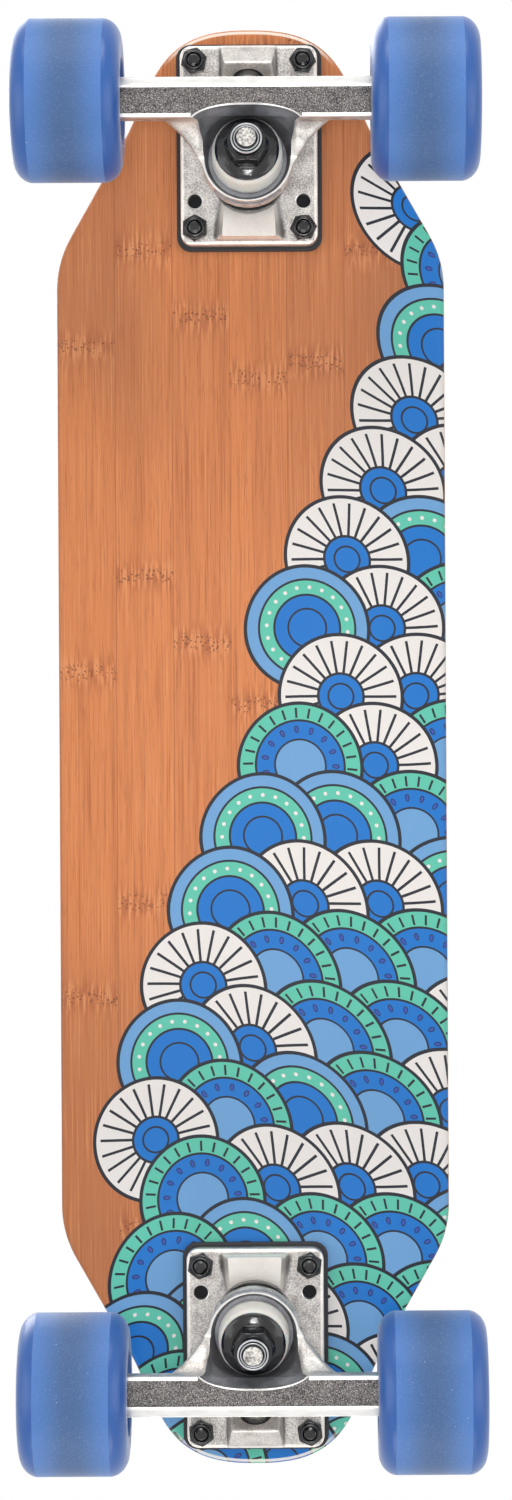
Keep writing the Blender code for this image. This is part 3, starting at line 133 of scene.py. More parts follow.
class Net:
    """Adds nodes to one tree, settings first and then values or links."""

    def __init__(self, tree):
        self.tree = tree

    def node(self, kind, settings=None, inputs=None, output=0):
        node = self.tree.nodes.new(kind)
        for name, value in (settings or {}).items():
            setattr(node, name, value)
        for key, value in (inputs or {}).items():
            self.plug(node.inputs[key], value)
        return Value(self, node.outputs[output])

    def plug(self, socket, value):
        if isinstance(value, Value):
            self.tree.links.new(value.socket, socket)
        else:
            socket.default_value = value

    def math(self, operation, *values):
        return self.node("ShaderNodeMath", {"operation": operation}, dict(enumerate(values)))

    def xyz(self, vector):
        parts = self.node("ShaderNodeSeparateXYZ", inputs={0: vector})
        return parts, parts.out(1), parts.out(2)

    def join(self, x, y, z):
        return self.node("ShaderNodeCombineXYZ", inputs={0: x, 1: y, 2: z})

    def choose(self, factor, first, second):
        """A number between two others."""
        return self.node("ShaderNodeMix", {"data_type": "FLOAT"}, {0: factor, 2: first, 3: second})

    def mix(self, factor, first, second, blend="MIX"):
        """A colour between two others."""
        settings = {"data_type": "RGBA", "blend_type": blend}
        return self.node("ShaderNodeMix", settings, {0: factor, 6: first, 7: second}, 2)

    def ramp(self, value, low, high):
        """0 below one number, 1 above another and smooth between them."""
        settings = {"interpolation_type": "SMOOTHSTEP"}
        return self.node("ShaderNodeMapRange", settings, {0: value, 1: low, 2: high})

# %% [markdown]
# ## Finishes
# A finish is one material. It starts from the Principled shader, reads Object coordinates,
# so that a pattern stays on the piece when the board is posed, and keeps plain numbers on
# the shader's own sockets. Colours are written as they are seen on a screen, from 0 to 255.

# %% A finish and its colours
def seen(red, green, blue):
    """A linear colour from the values seen on a screen."""
    parts = []
    for value in (red, green, blue):
        part = value / 255
        parts.append(part / 12.92 if part <= 0.04045 else ((part + 0.055) / 1.055) ** 2.4)
    return (*parts, 1.0)


class Finish(Net):
    """A material with its nodes."""

    def __init__(self, name, sockets):
        self.material = bpy.data.materials.new(name)
        self.material.use_nodes = True
        super().__init__(self.material.node_tree)
        self.shader = self.tree.nodes["Principled BSDF"]
        self.place = self.node("ShaderNodeTexCoord", output=3)
        self.set(sockets)

    def set(self, sockets):
        for name, value in sockets.items():
            self.plug(self.shader.inputs[name], value)

    def noise(self, scale, detail=2.0, vector=None):
        sockets = {"Vector": vector or self.place, "Scale": scale, "Detail": detail}
        return self.node("ShaderNodeTexNoise", inputs=sockets)

    def fibres(self, x, y, z, detail=3.0):
        """Noise with its own scale along each axis."""
        sockets = {0: self.place, 1: (x, y, z)}
        scaled = self.node("ShaderNodeVectorMath", {"operation": "MULTIPLY"}, sockets)
        return self.noise(1.0, detail, scaled)

    def cells(self, scale):
        return self.node("ShaderNodeTexVoronoi", inputs={"Vector": self.place, "Scale": scale})

    def coats(self, first, *coats):
        """A colour under coats of others. Each coat is its share and its colour on a screen."""
        colour = seen(*first)
        for share, shade in coats:
            colour = self.mix(share, colour, seen(*shade))
        return colour

    def bump(self, height, distance):
        sockets = {"Distance": distance, "Height": height}
        self.set({"Normal": self.node("ShaderNodeBump", inputs=sockets)})

# %% [markdown]
# ## Light, floor and background
# Plain studio light: four soft lamps stand round the board below the ground and shine on its
# underside. A small one behind the camera leaves the short bright marks on the black hardware,
# one hangs above for the other views, and a pale world fills the shadows. The floor
# is pale and shows only its top. From below, and for the light that crosses it, it isn't there,
# because the photograph looks up through it. Far away it fades to the white of the world.

# %% Lamps and world
LAMPS = {
    "lamp_left": ((-1.30, 0.0, -0.75), 1.2, 1.6, 9.0),
    "lamp_right": ((1.30, 0.0, -0.75), 1.2, 1.6, 9.0),
    "lamp_rear": ((0.0, -1.65, -0.60), 1.5, 0.60, 17.0),
    "lamp_front": ((0.0, 1.65, -0.60), 1.5, 0.60, 12.0),
    "lamp_key": ((0.0, 0.0, -1.75), 0.30, 0.22, 6.0),
    "lamp_above": ((-0.9, -1.1, 1.9), 1.4, 1.4, 30.0),
}
LAMP_AIM = Vector((0.0, 0.0, 0.06))
WORLD_LIGHT = 0.30
WHITE = (1.0, 1.0, 1.0, 1.0)

for name, (place, width, height, power) in LAMPS.items():
    lamp = bpy.data.lights.new(name, "AREA")
    lamp.shape = "RECTANGLE"
    lamp.size, lamp.size_y, lamp.energy = width, height, power
    stand = new_object(name, lamp)
    stand.visible_camera = False
    aim = (LAMP_AIM - Vector(place)).to_track_quat("-Z", "Y")
    stand.matrix_world = move(*place) @ aim.to_matrix().to_4x4()

world = bpy.data.worlds.new("world")
world.use_nodes = True
scene.world = world
sky = Net(world.node_tree)
path = sky.node("ShaderNodeLightPath")
shown = sky.math("MAXIMUM", sky.math("MAXIMUM", path, path.out(3)), path.out(6))
background = world.node_tree.nodes["Background"]
sky.plug(background.inputs["Color"], WHITE)
sky.plug(background.inputs["Strength"], sky.choose(shown, WORLD_LIGHT, 1.0))
print("lamps:", len(LAMPS))

# %% Floor
FLOOR_HALF = 20.0
FLOOR_Z = -0.0002
FLOOR_FADE = (0.9, 2.6)

corners = [(x * FLOOR_HALF, y * FLOOR_HALF, FLOOR_Z) for x, y in ((-1, -1), (1, -1), (1, 1), (-1, 1))]
floor_mesh = bpy.data.meshes.new("floor")
floor_mesh.from_pydata(corners, [], [(0, 1, 2, 3)])
floor = new_object("floor", floor_mesh)
sockets = {"Base Color": seen(236, 236, 236), "Roughness": 0.9, "Specular IOR Level": 0.0}
paper = Finish("floor_paper", sockets)
east, north, _ = paper.xyz(paper.place)
away = paper.math("SQRT", east * east + north * north)
glow = paper.node("ShaderNodeEmission", inputs={"Color": WHITE})
lit = Value(paper, paper.shader.outputs["BSDF"])
faded = paper.node("ShaderNodeMixShader", inputs={0: paper.ramp(away, *FLOOR_FADE), 1: lit, 2: glow})
from_camera = paper.node("ShaderNodeLightPath")
from_below = paper.node("ShaderNodeNewGeometry", output=6)
gone = paper.node("ShaderNodeBsdfTransparent")
solid_floor = from_camera * (1.0 - from_below)
one_way = paper.node("ShaderNodeMixShader", inputs={0: solid_floor, 1: gone, 2: faded})
paper.plug(paper.tree.nodes["Material Output"].inputs["Surface"], one_way)
floor_mesh.materials.append(paper.material)
print("floor", 2 * FLOOR_HALF, "m across")

# %% [markdown]
# ## Sizes
# These repeat the sizes of the plain solids, because a piece that replaces a solid has to
# stay where it is. Heights run up from the ground, and a truck is described once, for the
# front, and turned half round for the rear.

# %% Sizes and frames
DECK_LENGTH = 0.5498
HALF_WIDTH = 0.149 / 2
DECK_BOTTOM = 0.0800
DECK_THICKNESS = 0.010
DECK_TOP = DECK_BOTTOM + DECK_THICKNESS
PLATE_TOP = 0.0764
PLATE_BOTTOM = 0.0709
PAD_BOTTOM = 0.0767
PAD_TOP = 0.0797
PLATE_MIDDLE = 0.2290
AXLE_Y = 0.2391
AXLE_Z = 0.030
KINGPIN_Y = 0.2141
LEAN = math.radians(9.3)
BOLT_X = 0.02065
BOLT_ROWS = (0.26075, 0.19725)
SPARE_ROW = 0.20775
RING_CENTRE = 0.0304
WHEEL_X = 0.0661

KINGPIN_FRAME = move(0.0, KINGPIN_Y, PLATE_TOP) @ spin(math.pi + LEAN, "X")
RING_POINT = KINGPIN_FRAME @ Vector((0.0, 0.0, RING_CENTRE))
PIVOT_POINT = Vector((0.0, 0.2566, 0.0684))
STEER_AXIS = (RING_POINT - PIVOT_POINT).normalized()
PIVOT_FRAME = move(*PIVOT_POINT) @ STEER_AXIS.to_track_quat("Z", "Y").to_matrix().to_4x4()
UPRIGHT = Matrix.Identity(4)
ENDS = {"front": UPRIGHT, "rear": spin(math.pi, "Z")}
ON_SIDE = spin(math.pi / 2, "Y")
AXLES = {
    "front": move(0.0, AXLE_Y, AXLE_Z) @ ON_SIDE,
    "rear": move(0.0, -AXLE_Y, AXLE_Z) @ ON_SIDE,
}
print("ring at", tuple(round(value, 4) for value in RING_POINT))

# %% [markdown]
# ## Hanging pieces on the frame
# Each finished piece rides on a body of the model and says which plain solids it replaces.
# One helper does both, and puts the object at the origin, unturned, with its place in its
# mesh. Another gives both trucks the same pieces.

# %% Dress a body with a piece
def placed(mesh, matrix):
    """A copy of a mesh, moved to its place."""
    copy = mesh.copy()
    copy.transform(matrix)
    return copy


def dress(name, mesh, body, nodes, angle=32.0):
    """Give a mesh its object, its body and the solids that it stands for."""
    mesh.shade_smooth()
    mesh.set_sharp_from_angle(angle=math.radians(angle))
    piece = new_object(name, mesh)
    if nodes:
        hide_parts(*nodes)
    if body:
        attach(piece, body)
    return piece


def on_trucks(place, pieces):
    """Dress both trucks. Each piece has a mesh, a body, a slot and a solid. The slot is not used."""
    for end, turn in ENDS.items():
        for name, (mesh, body, slot, node) in pieces.items():
            copy = placed(mesh, turn @ place)
            dress(f"{end}_{name}", copy, body.format(end), [f"{end}_{node}"])

# %% [markdown]
# ## Plain shapes
# A few helpers build every plain shape that is cut, cast or used as a cutter: rings of points
# are closed to a solid, and a prism, a slab and a drum are short ways to write such rings.

# %% Plain shapes
def to_mesh(bm, materials, outward=True):
    """Write out a bmesh with its finishes, its faces turned outwards."""
    if outward:
        bmesh.ops.recalc_face_normals(bm, faces=bm.faces)
    mesh = bpy.data.meshes.new("shape")
    bm.to_mesh(mesh)
    bm.free()
    for material in materials:
        mesh.materials.append(material)
    return mesh


def joined(meshes):
    """Several meshes as one. Their finishes come along."""
    bm = bmesh.new()
    finishes = []
    for mesh in meshes:
        start = len(bm.faces)
        bm.from_mesh(mesh)
        bm.faces.ensure_lookup_table()
        finishes += [material for material in mesh.materials if material not in finishes]
        numbers = [finishes.index(material) for material in mesh.materials] or [0]
        for face in bm.faces[start:]:
            face.material_index = numbers[face.material_index]
    return to_mesh(bm, finishes, outward=False)


def solid(rings, material=None):
    """Close a mesh over rings of points, with a cap at both ends."""
    bm = bmesh.new()
    rows = [[bm.verts.new(point) for point in ring] for ring in rings]
    bm.faces.new(rows[0])
    bm.faces.new(rows[-1])
    for low, high in zip(rows, rows[1:]):
        for step in range(len(low)):
            after = (step + 1) % len(low)
            bm.faces.new((low[step], low[after], high[after], high[step]))
    return to_mesh(bm, [material] if material else [])


def prism(profile):
    """Extrude a side view along X. Each point is Y, Z and its half width."""
    return solid([[(side * half, y, z) for y, z, half in profile] for side in (-1, 1)])


def slab(outline, low, high, material=None):
    """Extrude an outline of X and Y points between two heights."""
    return solid([[(x, y, z) for x, y in outline] for z in (low, high)], material)


def drum(loops, facets, material=None, matrix=KINGPIN_FRAME):
    """A plain round solid from heights and radii, along the kingpin if no place is given."""
    turns = [2 * math.pi * step / facets for step in range(facets)]
    rings = []
    for height, radius in loops:
        rings.append([(radius * math.cos(turn), radius * math.sin(turn), height) for turn in turns])
    return placed(solid(rings, material), matrix)


def rod(low, high, radius, facets, material, matrix=KINGPIN_FRAME):
    """A drum with the same radius all the way."""
    return drum([(low, radius), (high, radius)], facets, material, matrix)


def block(low, high, material, matrix=UPRIGHT):
    """A box between two corners, for cutting."""
    plan = [(low[0], low[1]), (high[0], low[1]), (high[0], high[1]), (low[0], high[1])]
    return placed(slab(plan, low[2], high[2], material), matrix)


def spread(mesh, places):
    """Copies of a mesh at places of X and Y."""
    return [placed(mesh, move(x, y, 0.0)) for x, y in places]

# %% [markdown]
# ## Modifiers as tools
# A modifier is set, used once and baked into a plain mesh. The Boolean cuts a mesh with other
# meshes, and each cut face keeps the finish of its cutter, as machined metal would.

# %% Modifiers as tools
def modify(obj, kind, **settings):
    modifier = obj.modifiers.new(kind.lower(), kind)
    for name, value in settings.items():
        setattr(modifier, name, value)
    return modifier


def baked(obj, *helpers):
    """The object's mesh with its modifiers in it. The object and its helpers go."""
    bpy.context.view_layer.update()
    view = bpy.context.evaluated_depsgraph_get()
    mesh = bpy.data.meshes.new_from_object(obj.evaluated_get(view))
    for used in (*helpers, obj):
        bpy.data.objects.remove(used)
    return mesh


def cut(mesh, tools, operation="DIFFERENCE"):
    """Work on a mesh with other meshes."""
    settings = {"operation": operation, "solver": "EXACT", "material_mode": "TRANSFER"}
    base = new_object("workpiece", mesh)
    helpers = [new_object("tool", tool) for tool in tools]
    for helper in helpers:
        modify(base, "BOOLEAN", object=helper, **settings)
    return baked(base, *helpers)

# %% [markdown]
# ## The deck's shape
# The real deck is one pressed board: straight sides, shoulders that turn in towards the
# wheels, and a blunt round nose at both ends. It is flat in the middle and curls up to its
# long edges, and its rim is rounded off. A formula gives the half width at every place along
# the board, and rows of points across it, raised by the curl, make its two faces.

# %% The deck's outline
NOSE_LENGTH = 0.0419
SHOULDER_LENGTH = 0.0461
SHOULDER_RADIUS = 0.040
NECK_HALF = 0.0478
NECK_Y = DECK_LENGTH / 2 - NOSE_LENGTH
SHOULDER_Y = NECK_Y - SHOULDER_LENGTH
NECK_BLEND = 0.012
NOSE_TAPER = 0.45
NOSE_FLOW = 6.2
NOSE_FULLNESS = 2.55
FLAT_HALF = 0.0295
CURL = 0.0045
SLANT = math.atan2(HALF_WIDTH - NECK_HALF, SHOULDER_LENGTH)
BEND_START = SHOULDER_Y - SHOULDER_RADIUS * math.tan(SLANT / 2)
BEND_STOP = BEND_START + SHOULDER_RADIUS * math.sin(SLANT)


def plain_half_width(y):
    if y <= BEND_START:
        return HALF_WIDTH
    if y <= BEND_STOP:
        fall = 1 - math.sqrt(1 - ((y - BEND_START) / SHOULDER_RADIUS) ** 2)
        return HALF_WIDTH - SHOULDER_RADIUS * fall
    if y <= NECK_Y:
        at_stop = HALF_WIDTH - SHOULDER_RADIUS * (1 - math.cos(SLANT))
        return at_stop + (NECK_HALF - at_stop) * (y - BEND_STOP) / (NECK_Y - BEND_STOP)
    reach = min(1.0, (y - NECK_Y) / NOSE_LENGTH)
    side = NECK_HALF - NOSE_TAPER * (y - NECK_Y)
    return side * (1 - reach ** NOSE_FLOW) ** (1 / NOSE_FULLNESS)


def board_half_width(y):
    """The half width, with the corner at the neck blended by its neighbours."""
    reach = max(0.0, NECK_BLEND - abs(y - NECK_Y)) * 0.6
    places = [y + reach * step / 4 for step in range(-4, 5)]
    return sum(plain_half_width(place) for place in places) / len(places)


def nose_y(x):
    """Where the nose is as wide as a place across it, found by halving."""
    low, high = NECK_Y, DECK_LENGTH / 2
    for _ in range(40):
        middle = (low + high) / 2
        if plain_half_width(middle) > abs(x):
            low = middle
        else:
            high = middle
    return high


def curl(x):
    """How far the board rises towards its long edges."""
    return CURL * (max(0.0, abs(x) - FLAT_HALF) / (HALF_WIDTH - FLAT_HALF)) ** 2


def across(half_width):
    """Places across one row, closer together where the board curls."""
    flat = min(FLAT_HALF, half_width * 0.62)
    inner = [flat * step / 8 for step in range(8)]
    right = inner + [flat + (half_width - flat) * step / 12 for step in range(13)]
    return [-x for x in reversed(right[1:])] + right


print("nose ends at", round(nose_y(0.0), 4))

# %% A board of rows and columns
def board_rows():
    """Rows of points across the board, from the rear to the front."""
    even = SHOULDER_Y * 0.86
    rows_y = [even * step / 12 for step in range(12)]
    rows_y += [even + (NECK_Y - even) * step / 36 for step in range(36)]
    rows_y += [NECK_Y + NOSE_LENGTH * math.sin(math.pi / 2 * step / 40) for step in range(36)]
    front = [[(x, y) for x in across(board_half_width(y))] for y in rows_y]
    front.append([(x, nose_y(x)) for x in across(front[-1][-1][0] * 0.66)])
    return [[(x, -y) for x, y in row] for row in reversed(front[1:])] + front


def rim_of(rows):
    """Row and column of each point on the outline, in order."""
    last, width = len(rows) - 1, len(rows[0])
    rim = [(0, column) for column in range(width)]
    rim += [(row, width - 1) for row in range(1, last + 1)]
    rim += [(last, column) for column in range(width - 2, -1, -1)]
    return rim + [(row, 0) for row in range(last - 1, 0, -1)]


def drawn_in(rows, rim, distance):
    """The same rows with the outline moved inwards by a distance."""
    outline = [Vector(rows[row][column]) for row, column in rim]
    moved = {}
    for step, place in enumerate(rim):
        along = (outline[(step + 1) % len(rim)] - outline[step - 1]).normalized()
        moved[place] = outline[step] + Vector((-along.y, along.x)) * distance
    last = len(rows[0]) - 1
    result = [[(x, moved[row, last].y) for x in across(moved[row, last].x)] for row in range(len(rows))]
    for row in (0, len(rows) - 1):
        result[row] = [tuple(moved[row, column]) for column in range(last + 1)]
    return result


def board_shell(layers, material):
    """A closed sheet in the board's outline. Each layer is an inset and a height."""
    bm = bmesh.new()
    rows = board_rows()
    rim = rim_of(rows)
    on_rim = set(rim)
    sheets = []
    for number, (inset, height) in enumerate(layers):
        whole = number in (0, len(layers) - 1)
        sheet = {}
        for row, points in enumerate(drawn_in(rows, rim, inset)):
            for column, (x, y) in enumerate(points):
                if whole or (row, column) in on_rim:
                    sheet[row, column] = bm.verts.new((x, y, height + curl(x)))
        sheets.append(sheet)
    for low, high in zip(sheets, sheets[1:]):
        for here, after in zip(rim, rim[1:] + rim[:1]):
            bm.faces.new((low[here], low[after], high[after], high[here]))
    for sheet in (sheets[0], sheets[-1]):
        for row in range(len(rows) - 1):
            for column in range(len(rows[0]) - 1):
                corners = ((row, column), (row, column + 1), (row + 1, column + 1), (row + 1, column))
                bm.faces.new([sheet[corner] for corner in corners])
    return to_mesh(bm, [material])

# %% [markdown]
# ## Bamboo
# The underside is made of bamboo strips 22 mm wide. Each has its own tint, fine darker
# fibres along it, and a knot line of small dark dots every 12 cm or so, at another place on
# every strip. All of it comes from noise that is stretched along the board. Painted shade
# darkens the wood towards the long edges, and more at the shoulders as the shadow of the trucks
# and wheels. The edge is paler, because the stain stops where it is rounded off, and a pale
# painted highlight lies on the rounded rim at both ends.

# %% Bamboo, as a function of place
STRIP_WIDTH = 0.022
STRIP_START = 0.030
KNOT_SPACING = 0.125
KNOT_PLACES = (-0.029, -0.066, -0.040, -0.016, -0.022, -0.065, 0.010)


def bamboo(finish):
    """Colour and relief of the bamboo strips."""
    x, y, _ = finish.xyz(finish.place)
    ramp = finish.ramp
    strip = (x + STRIP_START) / STRIP_WIDTH
    number = strip.floor()
    tint = finish.node("ShaderNodeTexWhiteNoise", {"noise_dimensions": "1D"}, {"W": number})
    fine = finish.fibres(1700.0, 24.0, 24.0)
    dash = finish.fibres(1900.0, 120.0, 120.0, 1.0)
    coarse = finish.fibres(420.0, 7.0, 7.0)
    cloud = finish.fibres(16.0, 6.5, 6.5, 2.0)
    dark = ramp(fine, 0.52, 0.70) * 0.62 + ramp(coarse, 0.46, 0.74) * 0.42
    dark = finish.math("MINIMUM", dark + ramp(dash, 0.56, 0.72) * 0.34, 0.85)
    light = ramp(fine, 0.50, 0.25) * 0.5

    offset = 0.0
    for place, start in enumerate(KNOT_PLACES):
        offset = offset + finish.math("COMPARE", number, place - 2.0, 0.1) * start
    wobble = (finish.noise(90.0) - 0.5) * 0.006
    from_knot = abs((y - offset + wobble + KNOT_SPACING / 2) % KNOT_SPACING - KNOT_SPACING / 2)
    dot = ramp(finish.cells(760.0), 0.38, 0.22) * ramp(from_knot, 0.0040, 0.0012)
    streaks = finish.fibres(900.0, 90.0, 90.0, 2.0)
    halo = ramp(streaks, 0.44, 0.62) * ramp(from_knot, 0.0110, 0.0010)
    fleck = ramp(streaks, 0.50, 0.38) * ramp(from_knot, 0.0090, 0.0020)
    seam = ramp(abs(strip - number - 0.5), 0.488, 0.499)
    # Painted shade: darker towards the long edges, and more at the shoulders, as the trucks' and wheels'
    # shadow.
    truck_shadow = finish.math("MAXIMUM", ramp(y, 0.050, 0.130), ramp(y, -0.110, -0.180))
    painted_shade = (truck_shadow * 0.30 + 0.12) * ramp(abs(x), 0.020, 0.055)

    colour = finish.coats(
        (216, 132, 78), (tint, (206, 126, 76)), (ramp(cloud, 0.44, 0.70) * 0.50, (184, 113, 70)),
        (painted_shade, (138, 88, 60)), (light, (230, 156, 102)), (dark, (172, 98, 56)),
        (halo * 0.60, (158, 86, 52)), (fleck * 0.40, (232, 160, 108)),
        (seam * 0.45, (138, 80, 48)), (dot * 0.75, (104, 58, 38)))
    return colour, fine * 0.4 - dot * 1.2 - seam * 0.8

# %% [markdown]
# ## The printed design
# A generic pattern in two blues, mint and white is printed on one side of the underside:
# overlapping scallops, as on old tiles. Each scallop is a disc, and where discs overlap, the
# one in the nearer row lies on top, which takes four candidates for every point. Its number
# picks one of three fillings of rings, rays and dots.

# %% The printed design, as a function of place
SCALLOP_RADIUS = 0.0245
PITCH = 2 * SCALLOP_RADIUS
ROW_STEP = 0.64
ROW_HEIGHT = ROW_STEP * SCALLOP_RADIUS
COS_TURN = math.cos(math.radians(24.0))
SIN_TURN = math.sin(math.radians(24.0))
NAVY, BLUE, SKY = (20, 24, 36), (20, 118, 204), (110, 165, 216)
MINT, PAPER, VIOLET = (96, 200, 176), (236, 234, 231), (52, 84, 182)


def scallops(finish, x, y):
    """The scallop on top at each point: place in it, its number, and 1 where there is one."""
    bent_x = x + finish.math("SINE", y * 21.0 + 0.6) * 0.006
    bent_y = y + finish.math("SINE", x * 34.0 + 1.9) * 0.005
    column = (bent_x * COS_TURN + bent_y * SIN_TURN) / PITCH
    row = (bent_y * COS_TURN - bent_x * SIN_TURN) / ROW_HEIGHT
    top_row = (row + 1 / ROW_STEP).floor()
    side = up = number = covered = 0.0
    for behind in (3.0, 2.0, 1.0, 0.0):
        this_row = top_row - behind
        shift = (this_row % 2.0) * 0.5
        middle = (column - shift).floor() + 0.5 + shift
        to_side = (column - middle) * 2.0
        to_top = (this_row - row) * ROW_STEP
        middle_x = middle * (PITCH * COS_TURN) - this_row * (ROW_HEIGHT * SIN_TURN)
        middle_y = middle * (PITCH * SIN_TURN) + this_row * (ROW_HEIGHT * COS_TURN)
        edge = 0.004 - middle_y * 0.27 + finish.math("SINE", middle_y * 33.0 + 0.4) * 0.012
        inside = middle_x > edge - finish.ramp(middle_y, 0.205, 0.235) * 0.060
        cover = (to_side * to_side + to_top * to_top < 1.0) * inside
        side = finish.choose(cover, side, to_side)
        up = finish.choose(cover, up, to_top)
        number = finish.choose(cover, number, middle * 7.31 + this_row * 3.17)
        covered = finish.math("MAXIMUM", cover, covered)
    return side, up, number, covered


def printed(finish, x, y):
    """Colour of the design, and 1 where there is ink."""
    side, up, number, covered = scallops(finish, x, y)
    away = finish.math("SQRT", side * side + up * up)
    turn = finish.math("ARCTAN2", side, up) / (2 * math.pi)
    lot = finish.node("ShaderNodeTexWhiteNoise", {"noise_dimensions": "1D"}, {"W": number})

    def line(place, thick):
        return abs(away - place) < thick / 2

    def rays(count, thick, low, high):
        spoke = abs((turn * count) % 1.0 - 0.5) * away / count
        return (spoke < thick) * (away > low) * (away < high)

    def dots(count, place, long, short):
        along = ((turn * count) % 1.0 - 0.5) * (place * 2 * math.pi / count)
        out = away - place
        return along * along / (short * short) + out * out / (long * long) < 1.0

    first = finish.coats(
        BLUE, (away > 0.70, MINT), (line(0.70, 0.035) + rays(26.0, 0.0028, 0.74, 0.90), NAVY),
        (dots(15.0, 0.56, 0.060, 0.036), NAVY), (dots(15.0, 0.56, 0.046, 0.022), VIOLET),
        (line(0.40, 0.03), NAVY), (away < 0.385, SKY))
    second = finish.coats(
        PAPER, (rays(22.0, 0.0034, 0.36, 0.88), NAVY), (away < 0.36, BLUE),
        (line(0.36, 0.04) + line(0.20, 0.03), NAVY))
    third = finish.coats(
        BLUE, (away > 0.52, SKY), ((away > 0.52) * (away < 0.76), MINT),
        (line(0.52, 0.035) + line(0.76, 0.035), NAVY), (dots(20.0, 0.64, 0.030, 0.030), PAPER),
        (line(0.30, 0.03), NAVY))
    colour = finish.mix(lot > 0.72, finish.mix(lot > 0.42, first, second), third)
    return finish.mix(away > 0.945, colour, seen(*NAVY)), covered

# %% Deck finish
BARE_RIM = 0.0017
PLY = 0.0033

board = Finish("bamboo_board", {"Specular IOR Level": 0.35})
x, y, z = board.xyz(board.place)
wood, relief = bamboo(board)
curled = board.math("MAXIMUM", abs(x) - FLAT_HALF, 0.0) / (HALF_WIDTH - FLAT_HALF)
height = z - DECK_BOTTOM - curled * curled * CURL
ink, ink_mask = printed(board, x, y)
ink_mask = ink_mask * (height < BARE_RIM)
plies = abs((height / PLY) % 1.0 - 0.5)
end_grain = board.fibres(60.0, 60.0, 2600.0) * 0.5
glue = board.ramp(plies, 0.44, 0.49) * 0.45
pale = board.coats((246, 205, 160), (end_grain, (226, 172, 122)), (glue, (170, 112, 74)))
surface = board.mix(board.ramp(height, 0.0024, 0.0016), pale, wood)
surface = board.mix(ink_mask, surface, board.mix(0.10, ink, wood, "MULTIPLY"))
# Painted highlight: a pale band on the rounded rim at both noses.
rim_highlight = board.ramp(height, 0.00004, 0.00016) * board.ramp(height, 0.0010, 0.0006)
rim_highlight = rim_highlight * board.ramp(abs(y), 0.2600, 0.2690)
surface = board.mix(rim_highlight * 0.75, surface, seen(255, 246, 232))
board.set({"Base Color": surface, "Roughness": 0.48 + relief * 0.05})
board.bump(relief * (1.0 - ink_mask * 0.7), 0.00008)
print("deck finish has", len(board.tree.nodes), "nodes")

# %% The deck itself
EDGE_RADIUS = 0.0026
BOLT_HEAD_RADIUS = 0.0046
BOLT_HEAD_DEPTH = 0.0024
SEAT_GAP = 0.0003
BOLT_HOLE_RADIUS = 0.0027
BOLT_PLACES = [(x, end * y) for end in (1, -1) for x in (-BOLT_X, BOLT_X) for y in BOLT_ROWS]

lower = []
for step in range(8):
    turn = math.pi / 2 * step / 7
    rise = EDGE_RADIUS * (1 - math.cos(turn))
    lower.append((EDGE_RADIUS * (1 - math.sin(turn)), DECK_BOTTOM + rise))
upper = [(inset, 2 * DECK_BOTTOM + DECK_THICKNESS - z) for inset, z in reversed(lower)]
drill = drum([
    (DECK_BOTTOM - 0.002, BOLT_HOLE_RADIUS),
    (DECK_TOP - BOLT_HEAD_DEPTH - SEAT_GAP, BOLT_HOLE_RADIUS),
    (DECK_TOP - 0.0004, BOLT_HEAD_RADIUS + SEAT_GAP),
    (DECK_TOP + 0.002, BOLT_HEAD_RADIUS + SEAT_GAP),
], 32, board.material, UPRIGHT)
deck_mesh = cut(board_shell(lower + upper, board.material), [joined(spread(drill, BOLT_PLACES))])
dress("bamboo_deck", deck_mesh, "deck", ["deck"])
print("deck faces:", len(deck_mesh.polygons))

# %% [markdown]
# ## Grip tape
# The rider stands on a sheet of coarse black grit that is stuck to the top and trimmed just
# inside the rim. The grit is far too fine to model, so cells of noise lift it and a few grains
# glint. The sheet itself is a real one, with a punched hole over every bolt head.

# %% Grip tape
TAPE_INSET = 0.0029
TAPE_LOW = DECK_TOP + SEAT_GAP
TAPE_HIGH = TAPE_LOW + 0.0009
PUNCH_RADIUS = 0.0051

grit = Finish("grip_grit", {})
grain = grit.cells(2300.0)
clumps = grit.noise(160.0, 3.0)
glint = grit.ramp(grit.cells(900.0).out(1), 0.93, 0.97)
peaks = grit.ramp(grain, 0.35, 0.05) * 0.45
black = grit.coats((20, 20, 22), (clumps, (38, 38, 40)), (peaks, (96, 96, 100)))
grit.set({"Base Color": black, "Roughness": 0.95 - glint * 0.45})
grit.bump(grain * -1.0 + clumps * 0.6, 0.0005)
layers = [(TAPE_INSET, TAPE_LOW), (TAPE_INSET, TAPE_HIGH - 0.0002), (TAPE_INSET + 0.0002, TAPE_HIGH)]
punch = rod(TAPE_LOW - 0.002, TAPE_HIGH + 0.002, PUNCH_RADIUS, 32, grit.material, UPRIGHT)
tape_mesh = cut(board_shell(layers, grit.material), [joined(spread(punch, BOLT_PLACES))])
dress("grit_sheet", tape_mesh, "deck", ["grip_tape"])
print("tape faces:", len(tape_mesh.polygons))

# %% [markdown]
# ## A lathe in Geometry Nodes
# Wheels, washers, bushings, bearings, pins and nuts are all turned: a profile goes round an
# axis. The rule is simple enough for a tree. It lays a grid with one row for each point of the
# profile, reads that point's height and radius, and bends the row round the axis. A hexagon is
# the same thing with the radius cut down to its flats, which also gives real nuts their curved
# chamfers. A recipe is such a tree with named inputs, which runs on a list of points.

